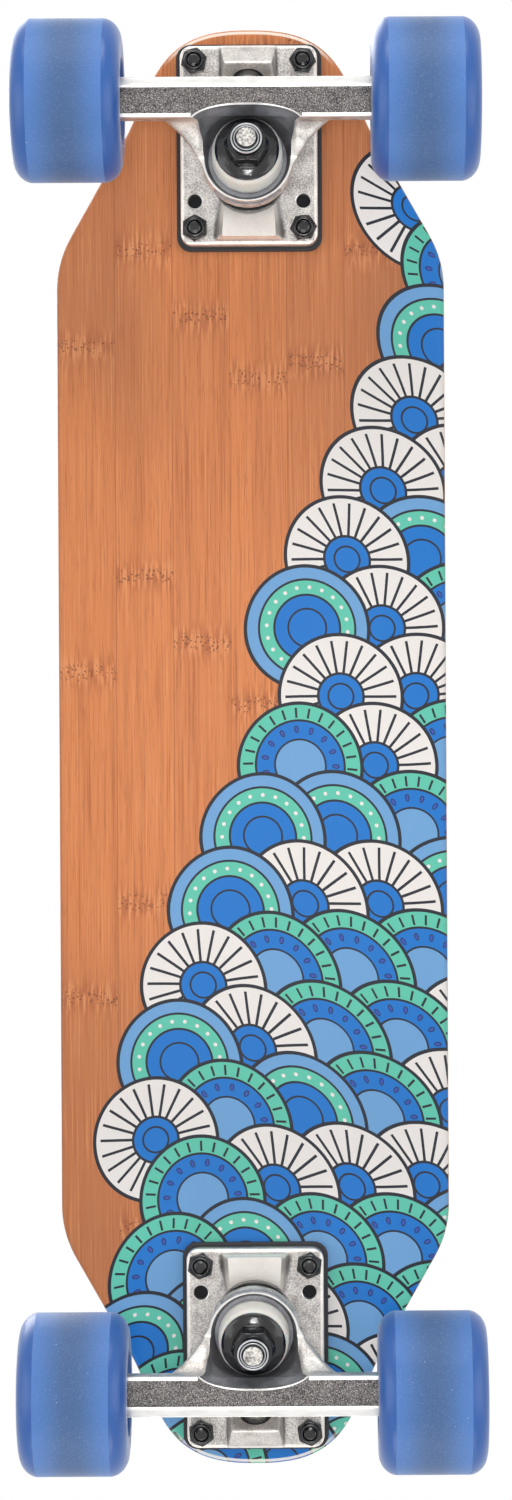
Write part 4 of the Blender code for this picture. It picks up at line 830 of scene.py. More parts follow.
# %% A recipe in Geometry Nodes
class Recipe(Net):
    """A tree with named inputs. The first is the mesh of points that it runs on."""

    def __init__(self, name, inputs):
        super().__init__(bpy.data.node_groups.new(name, "GeometryNodeTree"))
        face = self.tree.interface
        self.sockets = {}
        for label, kind in inputs.items():
            socket = face.new_socket(label, in_out="INPUT", socket_type="NodeSocket" + kind)
            self.sockets[label] = socket.identifier
        face.new_socket("Piece", in_out="OUTPUT", socket_type="NodeSocketGeometry")
        start = self.node("NodeGroupInput")
        self.given = [start.out(number) for number in range(len(inputs))]

    def end(self, geometry, finish):
        real = self.node("GeometryNodeRealizeInstances", inputs={0: geometry})
        painted = self.node("GeometryNodeSetMaterial", inputs={0: real, 2: finish})
        self.plug(self.tree.nodes.new("NodeGroupOutput").inputs[0], painted)

    def run(self, points, values, *helpers):
        """The tree's result as a plain mesh."""
        sketch = bpy.data.meshes.new("points")
        sketch.from_pydata(points, [], [])
        holder = new_object("points", sketch)
        modifier = modify(holder, "NODES", node_group=self.tree)
        for name, value in values.items():
            modifier[self.sockets[name]] = value
        return baked(holder, *helpers)

# %% The lathe tree
inputs = {"Profile": "Geometry", "Facets": "Int", "Flats": "Float", "Finish": "Material"}
LATHE = Recipe("lathe", inputs)
profile, facets, flats, finish = LATHE.given
points = LATHE.node("GeometryNodeAttributeDomainSize", {"component": "MESH"}, {0: profile})
grid = LATHE.node("GeometryNodeMeshGrid", inputs={2: points, 3: facets + 1.0})
index = LATHE.node("GeometryNodeInputIndex")
row = (index / (facets + 1.0) + 0.0001).floor()
turn = (index - row * (facets + 1.0)) / facets * (2 * math.pi)
settings = {"data_type": "FLOAT_VECTOR", "domain": "POINT"}
place = LATHE.node("GeometryNodeInputPosition")
sample = LATHE.node("GeometryNodeSampleIndex", settings, {0: profile, 1: place, 2: row})
height, radius, is_hex = LATHE.xyz(sample)
sector = abs((turn + math.pi / 6) % (math.pi / 3) - math.pi / 6)
hexagon = flats / 2.0 / LATHE.math("COSINE", math.pi / 6 - sector)
radius = LATHE.choose(is_hex, radius, LATHE.math("MINIMUM", radius, hexagon))
spot = LATHE.join(radius * LATHE.math("COSINE", turn), radius * LATHE.math("SINE", turn), height)
bent = LATHE.node("GeometryNodeSetPosition", inputs={0: grid, 2: spot})
LATHE.end(LATHE.node("GeometryNodeMergeByDistance", inputs={0: bent, 2: 0.000002}), finish)
print("lathe nodes:", len(LATHE.tree.nodes))

# %% Turning a profile
def curve(start, bend, stop, steps):
    """Places on a curve that sets out for the second point and ends in the third."""
    shares = [step / steps for step in range(steps + 1)]
    return [start * (1 - t) ** 2 + bend * 2 * t * (1 - t) + stop * t ** 2 for t in shares]


def softened(points):
    """Round the corners of a profile. A point is height, radius, rounding and 1 for a hexagon."""
    result = []
    for step, (height, radius, soft, is_hex) in enumerate(points):
        here = Vector((height, radius))
        if soft == 0.0 or step in (0, len(points) - 1):
            result.append((height, radius, is_hex))
            continue
        before = Vector(points[step - 1][:2]) - here
        after = Vector(points[step + 1][:2]) - here
        start = here + before.normalized() * min(soft, before.length * 0.48)
        stop = here + after.normalized() * min(soft, after.length * 0.48)
        result += [(*spot, is_hex) for spot in curve(start, here, stop, 4)]
    return result


def turned(profile, facets, finish, flats=0.0, hollow=True):
    """Turn a profile on the lathe. A hollow piece ends where it starts."""
    points = [(*point, 0.0, 0.0)[:4] for point in profile]
    points = softened(points + points[:1] if hollow else points)
    mesh = LATHE.run(points, {"Facets": facets, "Flats": flats, "Finish": finish})
    bm = bmesh.new()
    bm.from_mesh(mesh)
    return to_mesh(bm, mesh.materials)


def flipped(profile):
    """The mirror image of a profile, from its end back to its start."""
    return [(-point[0], *point[1:]) for point in reversed(profile)]

# %% [markdown]
# ## Wheels
# A wheel is cast in soft, cloudy urethane. Its tread is turned flat and matte, and the lips
# roll over from it in one curve to a face that is sunk round the bearing. The lathe makes it
# from one profile. The finish lets a little light in below the surface. The lips are glossy,
# and the tread is frosted by the turning, so a crisp line divides them.

# %% Wheel finish
WHEEL_HALF = 0.0201
TREAD_HALF = 0.0139
WHEEL_RADIUS = 0.030

urethane = Finish("blue_urethane", {
    "Subsurface Weight": 0.45, "Subsurface Scale": 0.006, "Subsurface Radius": (0.35, 0.6, 1.0),
    "Specular IOR Level": 0.6, "Sheen Weight": 0.30, "Sheen Roughness": 0.35})
coats, mix, ramp = urethane.coats, urethane.mix, urethane.ramp
from_middle = abs(abs(urethane.xyz(urethane.place)[0]) - WHEEL_X)
tread = from_middle < TREAD_HALF
cloud = urethane.noise(60.0)
frost = urethane.noise(1700.0, 3.0)
speck = ramp(urethane.cells(260.0), 0.045, 0.02) * tread
# Painted shade: the tread is darker in its middle and paler towards its edges, for the dark core seen
# through the urethane.
middle = coats((50, 88, 138), (cloud, (60, 98, 148)))
outer = coats((66, 117, 186), (cloud, (76, 127, 196)))
lip = coats((22, 84, 160), (cloud, (32, 94, 170)))
blue = mix(tread, lip, mix(ramp(from_middle, 0.001, TREAD_HALF), middle, outer))
blue = mix(ramp(frost, 0.52, 0.72) * tread * 0.35, blue, seen(120, 148, 196))
blue = mix(speck, blue, seen(236, 242, 250))
urethane.set({"Base Color": blue, "Roughness": 0.38 + tread * 0.18})
urethane.bump(frost * tread, 0.00020)
print("wheel finish has", len(urethane.tree.nodes), "nodes")

# %% Wheels
FACE_RADIUS = 0.0222

half_wheel = [(TREAD_HALF, WHEEL_RADIUS)]
for step in range(1, 15):
    turn = math.pi / 2 * step / 14
    fall = 0.88 * (1 - math.cos(turn)) + 0.12 * math.sin(turn)
    height = TREAD_HALF + (WHEEL_HALF - TREAD_HALF) * math.sin(turn)
    half_wheel.append((height, WHEEL_RADIUS - (WHEEL_RADIUS - FACE_RADIUS) * fall))
half_wheel += [
    (WHEEL_HALF, 0.0160, 0.0004), (WHEEL_HALF - 0.0008, 0.0148, 0.0006), (0.0132, 0.0120, 0.0006),
    (0.0122, 0.01115, 0.0002), (0.00485, 0.01115), (0.00485, 0.0095),
]
wheel_mesh = turned(half_wheel + flipped(half_wheel), 96, urethane.material)
for end, axle in AXLES.items():
    for side, x in (("left", -WHEEL_X), ("right", WHEEL_X)):
        wheel = f"{end}_{side}"
        copy = placed(wheel_mesh, axle @ move(0.0, 0.0, x))
        dress(wheel + "_tyre", copy, wheel + "_wheel", [wheel + "_wheel"], 7.0)
print("wheel faces:", len(wheel_mesh.polygons))

# %% [markdown]
# ## Metal
# The trucks are cast aluminium that has been tumbled: the skin is bright and faintly blotchy,
# the plate is grainier, and the bowl, holes and bores are smooth and darker, which is partly
# painted shade in these hollows. The long face of the bar is ground last, which leaves it dark
# with sandy speckles. One function gives them all, with other colours, grain and roughness.

# %% Metal finishes
def metal_finish(name, dark, light, grain_size, share, roughness, relief, metallic=1.0):
    """A metal whose colour wanders between two tints, with a fine grain."""
    finish = Finish(name, {"Metallic": metallic})
    blotch = finish.noise(170.0, 3.0)
    grain = finish.noise(grain_size)
    blend = finish.ramp(blotch, 0.32, 0.62) * (1.0 - share) + finish.ramp(grain, 0.34, 0.66) * share
    colour = finish.coats(dark, (blend, light))
    finish.set({"Base Color": colour, "Roughness": roughness + (blotch - 0.5) * 0.12})
    finish.bump(grain, relief)
    return finish, colour


def metal(*values):
    return metal_finish(*values)[0].material


CAST = metal("cast_skin", (156, 152, 148), (238, 233, 226), 1900.0, 0.45, 0.44, 0.00012, 0.8)
ground_values = ("ground_face", (46, 44, 46), (120, 116, 114), 2100.0, 0.80, 0.38, 0.00016)
ground, sandy = metal_finish(*ground_values)
specks = ground.ramp(ground.cells(1500.0), 0.30, 0.14)
ground.set({"Base Color": ground.mix(specks * 0.55, sandy, seen(220, 215, 211))})
GROUND = ground.material
# Partly painted shade: the bowl, seats, holes and bores take this darker finish.
BOWL = metal("bowl_skin_and_shade", (138, 139, 144), (166, 167, 172), 900.0, 0.25, 0.56, 0.00004)
EDGE = metal("polished_edge", (230, 228, 224), (246, 244, 240), 1200.0, 0.30, 0.36, 0.00003, 0.8)
SEAT = metal("milled_seat", (248, 240, 231), (254, 249, 242), 1500.0, 0.50, 0.42, 0.00010, 0.30)
STAMPED = metal("stamped_steel", (96, 94, 95), (226, 222, 216), 1100.0, 0.60, 0.36, 0.00022)
STEEL = metal("axle_steel", (168, 168, 170), (200, 200, 202), 1800.0, 0.40, 0.26, 0.00003)
ZINC = metal("zinc", (176, 177, 180), (208, 209, 212), 1600.0, 0.40, 0.30, 0.00004)
SHIELD = metal("bearing_steel", (160, 161, 164), (196, 197, 200), 1400.0, 0.30, 0.24, 0.00002)
metals = (CAST, GROUND, BOWL, EDGE, SEAT, STAMPED, STEEL, ZINC, SHIELD)
print("metals:", [material.name for material in metals])

# %% [markdown]
# ## Casting
# A cast piece has no sharp corner: molten metal leaves a small round in each. Plain shapes that
# overlap are laid where the metal is, and remeshing them at half a millimetre melts them into
# one skin, which is then smoothed. Machining comes afterwards and stays sharp, as it does on
# the real truck: every cutter below leaves its own finish on the faces that it makes.

# %% Casting
GRAIN = 0.00055
ROUNDING = 5
KEPT_FACES = 0.55


def cast(shapes, material):
    """Melt overlapping shapes into one closed skin with rounded corners."""
    blank = new_object("blank", joined(shapes))
    modify(blank, "REMESH", mode="VOXEL", voxel_size=GRAIN)
    modify(blank, "SMOOTH", factor=0.5, iterations=ROUNDING)
    modify(blank, "DECIMATE", ratio=KEPT_FACES)
    mesh = baked(blank)
    mesh.materials.clear()
    mesh.materials.append(material)
    return mesh

# %% [markdown]
# ## The hanger
# The hanger carries the axle. It is a bar whose face is ground flat, a ring round the kingpin
# between the two bushings, walls that join the ring to the bar like a bowl, a curved web on
# each side, and a stem that ends in the ball of the pivot. The bowl is the striking part of
# the photograph. Its cutter is a stack of rings that grow from the ring's round seat to the
# wide mouth in the bar.

# %% The hanger's plain shapes
RING_RADIUS = 0.0170
RING_LIP = RING_CENTRE + 0.0048
RING_SKIRT = RING_CENTRE - 0.0040
RING_WEB = 0.0020
UPPER_SEAT = 0.0146
LOWER_SEAT = 0.0139
RING_HOLE = 0.0076
BAR_FACE = AXLE_Z - 0.0070
BAR_SIDE = AXLE_Y - 0.0075
BAR_HALF = 0.0524
BOWL_HALF = 0.0186
SPARE = 0.0015
BALL = 0.0043


def on_ring(height, reach):
    """Y and Z of a point near the kingpin, by its height along it and its reach outwards."""
    point = KINGPIN_FRAME @ Vector((0.0, -reach, height))
    return point.y, point.z


def along_bar(points, low, high, material=None):
    """Extrude along the bar a side view that is measured from the axle."""
    return solid([[(x, AXLE_Y + y, AXLE_Z + z) for y, z in points] for x in (low, high)], material)


bar = along_bar([
    (-0.0075, -0.0070 - SPARE), (0.0040 - 0.9 * SPARE, -0.0070 - SPARE), (0.0068, -0.0042),
    (0.0092, 0.0), (0.0085, 0.0052), (0.0042, 0.0088), (-0.0042, 0.0088), (-0.0075, 0.0013),
], -BAR_HALF - SPARE, BAR_HALF + SPARE)

yoke_side = [
    on_ring(RING_SKIRT, -RING_RADIUS - 0.004),
    on_ring(RING_LIP + 0.001, -RING_RADIUS - 0.004),
    on_ring(RING_LIP + 0.001, 0.0),
    (BAR_SIDE - 0.0055, BAR_FACE + 0.0115),
    (BAR_SIDE - 0.0015, BAR_FACE + 0.0040),
    (BAR_SIDE - 0.0002, BAR_FACE - 0.001),
    (AXLE_Y, BAR_FACE - 0.001),
    (AXLE_Y, AXLE_Z + 0.0170),
    on_ring(RING_SKIRT, RING_RADIUS),
]
turns = [math.pi * step / 24 for step in range(25)]
plan = [(RING_RADIUS * math.cos(turn), RING_RADIUS * math.sin(turn)) for turn in turns]
reach = RING_POINT.y - BAR_SIDE
walls = [(-RING_RADIUS, -0.0045), (-BOWL_HALF, reach), (-BOWL_HALF, reach - 0.0095)]
plan += walls + [(-x, y) for x, y in reversed(walls)]
outline = placed(slab(plan, -0.01, 0.08), KINGPIN_FRAME)
yoke = cut(prism([(y, z, BOWL_HALF + 0.004) for y, z in yoke_side]), [outline], "INTERSECT")
print("yoke faces:", len(yoke.polygons))

# %% The hanger's webs, neck and stem
def web_shape(side):
    """The curved web between the bar and the ring."""
    start = Vector((0.0316, BAR_SIDE + 0.0015))
    bend = Vector((0.0192, AXLE_Y - 0.0130))
    stop = Vector((0.0130, AXLE_Y - 0.0318))
    sections = []
    for step, edge in enumerate(curve(start, bend, stop, 16)):
        t = step / 16
        root_low = AXLE_Z + 0.0108 - 0.0150 * (1 - t) ** 2
        edge_low = AXLE_Z + 0.0125 - 0.0115 * (1 - t) ** 2
        high = edge_low + 0.0065
        corners = ((0.0125, root_low), (edge.x, edge_low), (edge.x, high - 0.0012), (0.0125, high))
        sections.append([(side * x, edge.y, z) for x, z in corners])
    return solid(sections)


skirt_y, skirt_z = on_ring(RING_SKIRT, RING_RADIUS - 0.0012)
middle_y, middle_z = on_ring(RING_CENTRE, RING_RADIUS - 0.0012)
neck = prism([
    (skirt_y, skirt_z - 0.0010, 0.0070),
    (skirt_y + 0.0035, skirt_z + 0.0042, 0.0060),
    (AXLE_Y + 0.0078, AXLE_Z + 0.0315, 0.0040),
    (AXLE_Y + 0.0092, AXLE_Z + 0.0240, 0.0050),
    (AXLE_Y + 0.0064, AXLE_Z + 0.0052, 0.0070),
    (middle_y, AXLE_Z + 0.0052, 0.0070),
    (middle_y, middle_z, 0.0070),
])
turns = [math.radians(angle) for angle in (80, 60, 40, 20)]
loops = [(-BALL * math.sin(turn), BALL * math.cos(turn)) for turn in turns]
loops += [(0.0, BALL), (0.0041, BALL), (0.0093, 0.0064), (0.0140, 0.0072), (0.0200, 0.0072)]
stem = drum(loops, 48, None, PIVOT_FRAME)
hanger_mesh = cast([bar, yoke, web_shape(1), web_shape(-1), neck, stem], CAST)
print("cast hanger faces:", len(hanger_mesh.polygons))

# %% The bowl's cutter
BOWL_FACETS = 96
LIP_Y, LIP_Z = on_ring(RING_LIP, 0.0)
SEAT_Y, SEAT_Z = on_ring(RING_CENTRE + RING_WEB, 0.0)
ARC_DEPTH = 0.0068
ARC_Y = AXLE_Y - 0.0025 - ARC_DEPTH
BOWL_BACK = AXLE_Y - 0.0058 - LIP_Y
TILT = math.tan(LEAN)
BOWL_LEVELS = [
    (SEAT_Y, SEAT_Z, UPPER_SEAT, UPPER_SEAT, UPPER_SEAT, TILT, 2.0),
    (LIP_Y, LIP_Z, UPPER_SEAT + 0.0015, UPPER_SEAT + 0.0006, UPPER_SEAT + 0.0016, TILT, 2.2),
    (LIP_Y, BAR_FACE + 0.0130, UPPER_SEAT + 0.0022, BOWL_BACK + 0.0012, UPPER_SEAT + 0.0075, 0.0, 2.8),
    (LIP_Y, BAR_FACE + 0.0070, UPPER_SEAT + 0.0034, BOWL_BACK, UPPER_SEAT + 0.0075, 0.0, 6.0),
    (ARC_Y, BAR_FACE, 0.0209, ARC_DEPTH, 0.0300, 0.0, 2.0),
    (ARC_Y, BAR_FACE - 0.0040, 0.0209, ARC_DEPTH, 0.0300, 0.0, 2.0),
]


def bowl_ring(level, growth=0.0):
    y, z, half_width, outward, inward, slope, square = level
    ring = []
    for step in range(BOWL_FACETS):
        turn = 2 * math.pi * step / BOWL_FACETS
        power = 2 / square if math.sin(turn) > 0 else 1.0
        side = math.copysign(abs(math.cos(turn)) ** power, math.cos(turn))
        reach = math.copysign(abs(math.sin(turn)) ** power, math.sin(turn))
        along = reach * ((outward if reach > 0 else inward) + growth)
        ring.append(((half_width + growth) * side, y + along, z + along * slope))
    return ring


bowl_rings = []
for low, high in zip(BOWL_LEVELS, BOWL_LEVELS[1:]):
    for share in (0.0, 0.2, 0.4, 0.6, 0.8):
        bowl_rings.append(bowl_ring([a + (b - a) * share for a, b in zip(low, high)]))
bowl_tool = solid(bowl_rings + [bowl_ring(BOWL_LEVELS[-1])], BOWL)
mouth = BOWL_LEVELS[4]
edge_levels = ((0.00045, 0.0), (-0.0020, 0.00245))
edge_rings = [bowl_ring((mouth[0], mouth[1] + rise, *mouth[2:]), growth) for rise, growth in edge_levels]
edge_tool = solid(edge_rings, EDGE)
print("bowl rings:", len(bowl_rings) + 1)

# %% The hanger, machined
AXLE_BORE = 0.00415

# Painted shade: a shallow groove in the darker bowl finish gives the dark band where the ring's outer
# wall turns away from the light.
shade_groove_ring = turned([
    (RING_LIP - 0.0042, RING_RADIUS - 0.0006), (RING_LIP - 0.0017, RING_RADIUS - 0.0006),
    (RING_LIP - 0.0012, RING_RADIUS + 0.0040), (RING_LIP - 0.0045, RING_RADIUS + 0.0040),
], 96, BOWL)
inner_side = block((-0.03, 0.0120, 0.0), (0.03, 0.03, 0.06), BOWL)
shade_groove_tool = placed(cut(shade_groove_ring, [inner_side], "INTERSECT"), KINGPIN_FRAME)
rolled = [Vector(place) for place in ((0.0088, 0.0016), (0.0068, -0.0052), (0.0037, -0.0070))]
outer_edge = curve(*rolled, 10) + [(0.0037, -0.02), (0.03, -0.02), (0.03, 0.0016)]
rolled = [Vector(place) for place in ((-0.0060, -0.0070), (-0.0074, -0.0067), (-0.0075, -0.0052))]
inner_edge = curve(*rolled, 5) + [(-0.02, -0.0052), (-0.02, -0.02), (-0.0060, -0.02)]
hanger_mesh = cut(hanger_mesh, [
    block((-0.08, AXLE_Y - 0.03, BAR_FACE - 0.02), (0.08, AXLE_Y + 0.03, BAR_FACE), GROUND),
    along_bar(outer_edge, -0.06, 0.06, EDGE),
    along_bar(inner_edge, 0.0205, 0.06, EDGE),
    along_bar(inner_edge, -0.06, -0.0205, EDGE),
    block((BAR_HALF, AXLE_Y - 0.03, 0.0), (BAR_HALF + 0.02, AXLE_Y + 0.03, 0.06), EDGE),
    block((-BAR_HALF - 0.02, AXLE_Y - 0.03, 0.0), (-BAR_HALF, AXLE_Y + 0.03, 0.06), EDGE),
    block((-0.03, 0.0, RING_LIP), (0.03, 0.03, RING_LIP + 0.02), EDGE, KINGPIN_FRAME),
    shade_groove_tool,
    bowl_tool,
    edge_tool,
    rod(0.0117, RING_CENTRE - RING_WEB, LOWER_SEAT, 96, BOWL),
    rod(RING_CENTRE - 0.004, RING_CENTRE + 0.004, RING_HOLE, 64, BOWL),
    rod(-0.08, 0.08, AXLE_BORE, 48, BOWL, AXLES["front"]),
])
on_trucks(UPRIGHT, {"casting": (hanger_mesh, "{}_hanger", "cast_hanger", "hanger")})
print("hanger faces:", len(hanger_mesh.polygons))

# %% [markdown]
# ## The baseplate
# The baseplate is cast as well: a rounded slab with six holes, a tongue that carries the
# kingpin's boss, and a boss whose tilted face holds the pivot cup. The seat round the kingpin
# and the top are machined. It stays with the deck.

# %% The plate's finish
PLATE_HALF_WIDTH = 0.02615
PLATE_HALF_LENGTH = 0.0380

plate_values = ("plate_skin", (130, 126, 123), (214, 209, 204), 1900.0, 0.62, 0.44, 0.00016, 0.85)
plate, sandy = metal_finish(*plate_values)
x, y, z = plate.xyz(plate.place)
on_boss = abs(y) > PLATE_MIDDLE + 0.020
# Painted highlight: the low tongue and the plate's rounded rim are painted near white.
tongue_highlight = plate.ramp(z, 0.0702, 0.0660) * (1.0 - on_boss * 0.80)
past_side = abs(x) - PLATE_HALF_WIDTH
past_end = abs(abs(y) - PLATE_MIDDLE) - PLATE_HALF_LENGTH
rim_highlight = plate.ramp(plate.math("MAXIMUM", past_side, past_end), -0.0017, -0.0009)
pale_highlight = plate.math("MAXIMUM", tongue_highlight * 0.95, rim_highlight * 0.65 * (z < 0.0730) * (z > 0.0650))
plate.set({"Base Color": plate.mix(pale_highlight, sandy, seen(250, 243, 235))})
PLATE = plate.material
print("plate finish has", len(plate.tree.nodes), "nodes")

# %% The baseplate
KINGPIN_SEAT = 0.0096
BURIED = PLATE_BOTTOM + 0.0010


def rounded(half_width, half_length, radius, middle_y, steps=8):
    """An outline of X and Y points with round corners."""
    points = []
    for quarter, (side, along) in enumerate(((1, 1), (-1, 1), (-1, -1), (1, -1))):
        for step in range(steps + 1):
            turn = math.pi / 2 * (quarter + step / steps)
            x = side * (half_width - radius) + radius * math.cos(turn)
            points.append((x, middle_y + along * (half_length - radius) + radius * math.sin(turn)))
    return points


def seat_height(y, extra):
    return PLATE_TOP - (KINGPIN_SEAT + extra - (y - KINGPIN_Y) * math.sin(LEAN)) / math.cos(LEAN)


tongue_start = PLATE_MIDDLE - PLATE_HALF_LENGTH + 0.0015
tongue_stop = tongue_start + 0.0359
toe = PLATE_MIDDLE + PLATE_HALF_LENGTH - 0.0002
boss_top = PLATE_TOP - 0.0174
boss_outer = PIVOT_POINT.y + 0.0020
boss_slant = (BURIED - boss_top) * STEER_AXIS.z / STEER_AXIS.y
plate_outline = rounded(PLATE_HALF_WIDTH, PLATE_HALF_LENGTH, 0.0045, PLATE_MIDDLE)
tongue = [
    (tongue_start, BURIED, 0.0140),
    (tongue_start + 0.0010, seat_height(tongue_start, 0.001), 0.0097),
    (tongue_stop, seat_height(tongue_stop, 0.001), 0.0074),
    (tongue_stop + 0.0020, BURIED, 0.0140),
]
pivot_boss = [
    (toe, BURIED, 0.0106),
    (toe, PLATE_TOP - 0.0066, 0.0106),
    (boss_outer, boss_top, 0.0092),
    (boss_outer - 0.0008, boss_top, 0.0092),
    (boss_outer - 0.0008 - boss_slant, BURIED, 0.0106),
]
plate_mesh = cast([
    slab(plate_outline, PLATE_BOTTOM, PLATE_TOP + SPARE),
    prism(tongue),
    rod(KINGPIN_SEAT - 0.0062, KINGPIN_SEAT + 0.001, 0.0128, 64, PLATE),
    prism(pivot_boss),
], PLATE)
print("cast plate faces:", len(plate_mesh.polygons))

# %% The baseplate, machined
hole_places = [(x, y) for y in BOLT_ROWS + (SPARE_ROW,) for x in (-BOLT_X, BOLT_X)]
hole = rod(PLATE_BOTTOM - 0.01, PLATE_TOP + 0.01, BOLT_HOLE_RADIUS, 32, BOWL, UPRIGHT)
bevel = drum([
    (PLATE_BOTTOM - 0.0010, BOLT_HOLE_RADIUS + 0.0014),
    (PLATE_BOTTOM + 0.0004, BOLT_HOLE_RADIUS),
], 32, EDGE, UPRIGHT)
socket = [(-0.0058, 0.0015), (-0.0037, 0.0047), (0.0, 0.0060), (0.012, 0.0060)]
plate_mesh = cut(plate_mesh, [
    block((-0.05, 0.15, PLATE_TOP), (0.05, 0.30, PLATE_TOP + 0.02), PLATE),
    block((-0.02, -0.03, KINGPIN_SEAT), (0.02, 0.05, KINGPIN_SEAT + 0.01), SEAT, KINGPIN_FRAME),
    rod(-0.004, 0.0057, 0.0086, 6, BOWL),
    rod(0.0016, 0.012, 0.00505, 64, BOWL),
    drum(socket, 48, BOWL, PIVOT_FRAME),
    *spread(hole, hole_places),
    *spread(bevel, hole_places[-2:]),
])
on_trucks(UPRIGHT, {"plate": (plate_mesh, "deck", "cast_plate", "baseplate")})
print("plate faces:", len(plate_mesh.polygons))

# %% [markdown]
# ## Small finishes
# Black hardware is steel under a glossy black layer, so it is nearly black with bright small
# highlights. Rubber and nylon are matt. The bushings are cream urethane that lets some light in.

# %% Small finishes
def plain(name, dark, light, roughness, size, relief, **sockets):
    """A finish without metal in it, whose colour wanders between two tints."""
    finish = Finish(name, {key.replace("_", " "): value for key, value in sockets.items()})
    blotch = finish.noise(size, 3.0)
    colour = finish.coats(dark, (blotch, light))
    finish.set({"Base Color": colour, "Roughness": roughness + (blotch - 0.5) * 0.10})
    finish.bump(blotch, relief)
    return finish.material


BLACK = plain("black_steel", (10, 10, 12), (22, 23, 27), 0.13, 700.0, 0.00006, Specular_IOR_Level=0.6)
RUBBER = plain("pad_rubber", (24, 24, 27), (40, 40, 44), 0.70, 1300.0, 0.00010)
NYLON = plain("nylon", (20, 20, 22), (34, 34, 38), 0.45, 900.0, 0.00003)
CREAM = plain("cream_urethane", (222, 218, 208), (240, 237, 229), 0.36, 260.0, 0.00006,
              Subsurface_Weight=0.3, Subsurface_Scale=0.003)
SEAL = plain("bearing_seal", (20, 21, 24), (32, 33, 37), 0.42, 800.0, 0.00004)
print("small finishes:", [material.name for material in (BLACK, RUBBER, NYLON, CREAM, SEAL)])

# %% [markdown]
# ## Riser pads
# A soft pad lies between the plate and the deck and shows as a black line round the plate. It
# is a slab with rounded edges, punched for the four mounting bolts.

# %% Riser pads
PAD_HALF_WIDTH = 0.02775
PAD_HALF_LENGTH = 0.0395

PAD_CORNER = 0.0055
PAD_LEVELS = (
    (0.0006, PAD_BOTTOM), (0.0, PAD_BOTTOM + 0.0006),
    (0.0, PAD_TOP - 0.0003), (0.0003, PAD_TOP),
)

pad_rings = []
for inset, z in PAD_LEVELS:
    half_width, half_length = PAD_HALF_WIDTH - inset, PAD_HALF_LENGTH - inset
    outline = rounded(half_width, half_length, PAD_CORNER - inset, PLATE_MIDDLE)
    pad_rings.append([(x, y, z) for x, y in outline])
hole = rod(PAD_BOTTOM - 0.01, PAD_TOP + 0.01, BOLT_HOLE_RADIUS, 32, RUBBER, UPRIGHT)
pad_mesh = cut(solid(pad_rings, RUBBER), spread(hole, BOLT_PLACES[:4]))
on_trucks(UPRIGHT, {"pad": (pad_mesh, "deck", "pad_rubber", "riser_pad")})
print("pad faces:", len(pad_mesh.polygons))

# %% [markdown]
# ## Pivot cup
# A plastic cup lines the socket of the plate and holds the ball of the hanger's stem.

# %% Pivot cup
CUP_OUTER = 0.0057
CUP_INNER = 0.0046

turns = [math.radians(angle) for angle in range(90, -1, -15)]
cup = [(-CUP_OUTER * math.sin(turn), CUP_OUTER * math.cos(turn)) for turn in turns]
cup += [(0.0033, CUP_OUTER, 0.0003), (0.0033, CUP_INNER, 0.0003)]
cup += [(-CUP_INNER * math.sin(turn), CUP_INNER * math.cos(turn)) for turn in reversed(turns)]
cup_mesh = turned(cup, 48, NYLON, hollow=False)
on_trucks(PIVOT_FRAME, {"cup": (cup_mesh, "deck", "cup_plastic", "pivot_cup")})
print("cup faces:", len(cup_mesh.polygons))

# %% [markdown]
# ## Kingpin, washers and nut
# The kingpin is a bolt through the whole stack. A cupped washer sits at each end of the
# bushings, and a lock nut holds them. Its hexagon is chamfered, which shows as curved edges,
# and a steel collar is rolled over the nylon ring that grips the thread.
# Thin bright steel rings on the nut's collar and on the pin's thread are painted highlights.

# %% Threads and nuts
def chamfered(low, high, flats, bevel):
    """Rows of a hexagon whose corners are turned off at both ends."""
    inner = flats / 2 * 0.99
    growth = flats / math.sqrt(3) - inner
    rows = [(low + bevel * step / 5, inner + growth * step / 5, 0.0, 1.0) for step in range(6)]
    return rows + [(low + high - row[0], *row[1:]) for row in reversed(rows)]


def thread(start, stop, radius, pitch):
    """Ridges of a thread, as rings."""
    rows = []
    height = start
    while height + pitch <= stop:
        rows += [(height, radius), (height + pitch * 0.5, radius - pitch * 0.45)]
        height += pitch
    return rows + [(height, radius)]


def lock_nut(start, flats, hex_height, height, collar, bore, facets=72, finish=BLACK):
    """A steel nut and its nylon ring, as two meshes."""
    top = start + height
    inside = start + hex_height * 0.9
    steel = [
        (start, bore), *chamfered(start, start + hex_height, flats, 0.0009),
        (start + hex_height, collar, 0.0002), (top, collar - 0.0002, 0.0006),
        (top, collar - 0.0011, 0.0003), (top - 0.0007, collar - 0.0013),
        (inside, collar - 0.0014), (inside, bore),
    ]
    ring = [
        (inside + 0.00002, bore - 0.0001), (inside + 0.00002, collar - 0.00142),
        (top - 0.0006, collar - 0.00142, 0.0003), (top - 0.0004, bore - 0.0001, 0.0004),
    ]
    return turned(steel, facets, finish, flats), turned(ring, 48, NYLON)


def bright_ring(top, inner, outer):
    """A thin bright steel ring on the black hardware: a painted highlight."""
    low = top - 0.0004
    return turned([(low, inner), (low, outer), (top, outer, 0.0001), (top, inner, 0.0001)], 72, ZINC)

# %% Kingpin, washers and nut
PIN_RADIUS = 0.00475
PIN_BORE = PIN_RADIUS + SEAT_GAP
PIN_FLATS = 0.0143
PIN_PITCH = 0.00106
NUT_LOW = 0.0469
NUT_HEIGHT = 0.0104

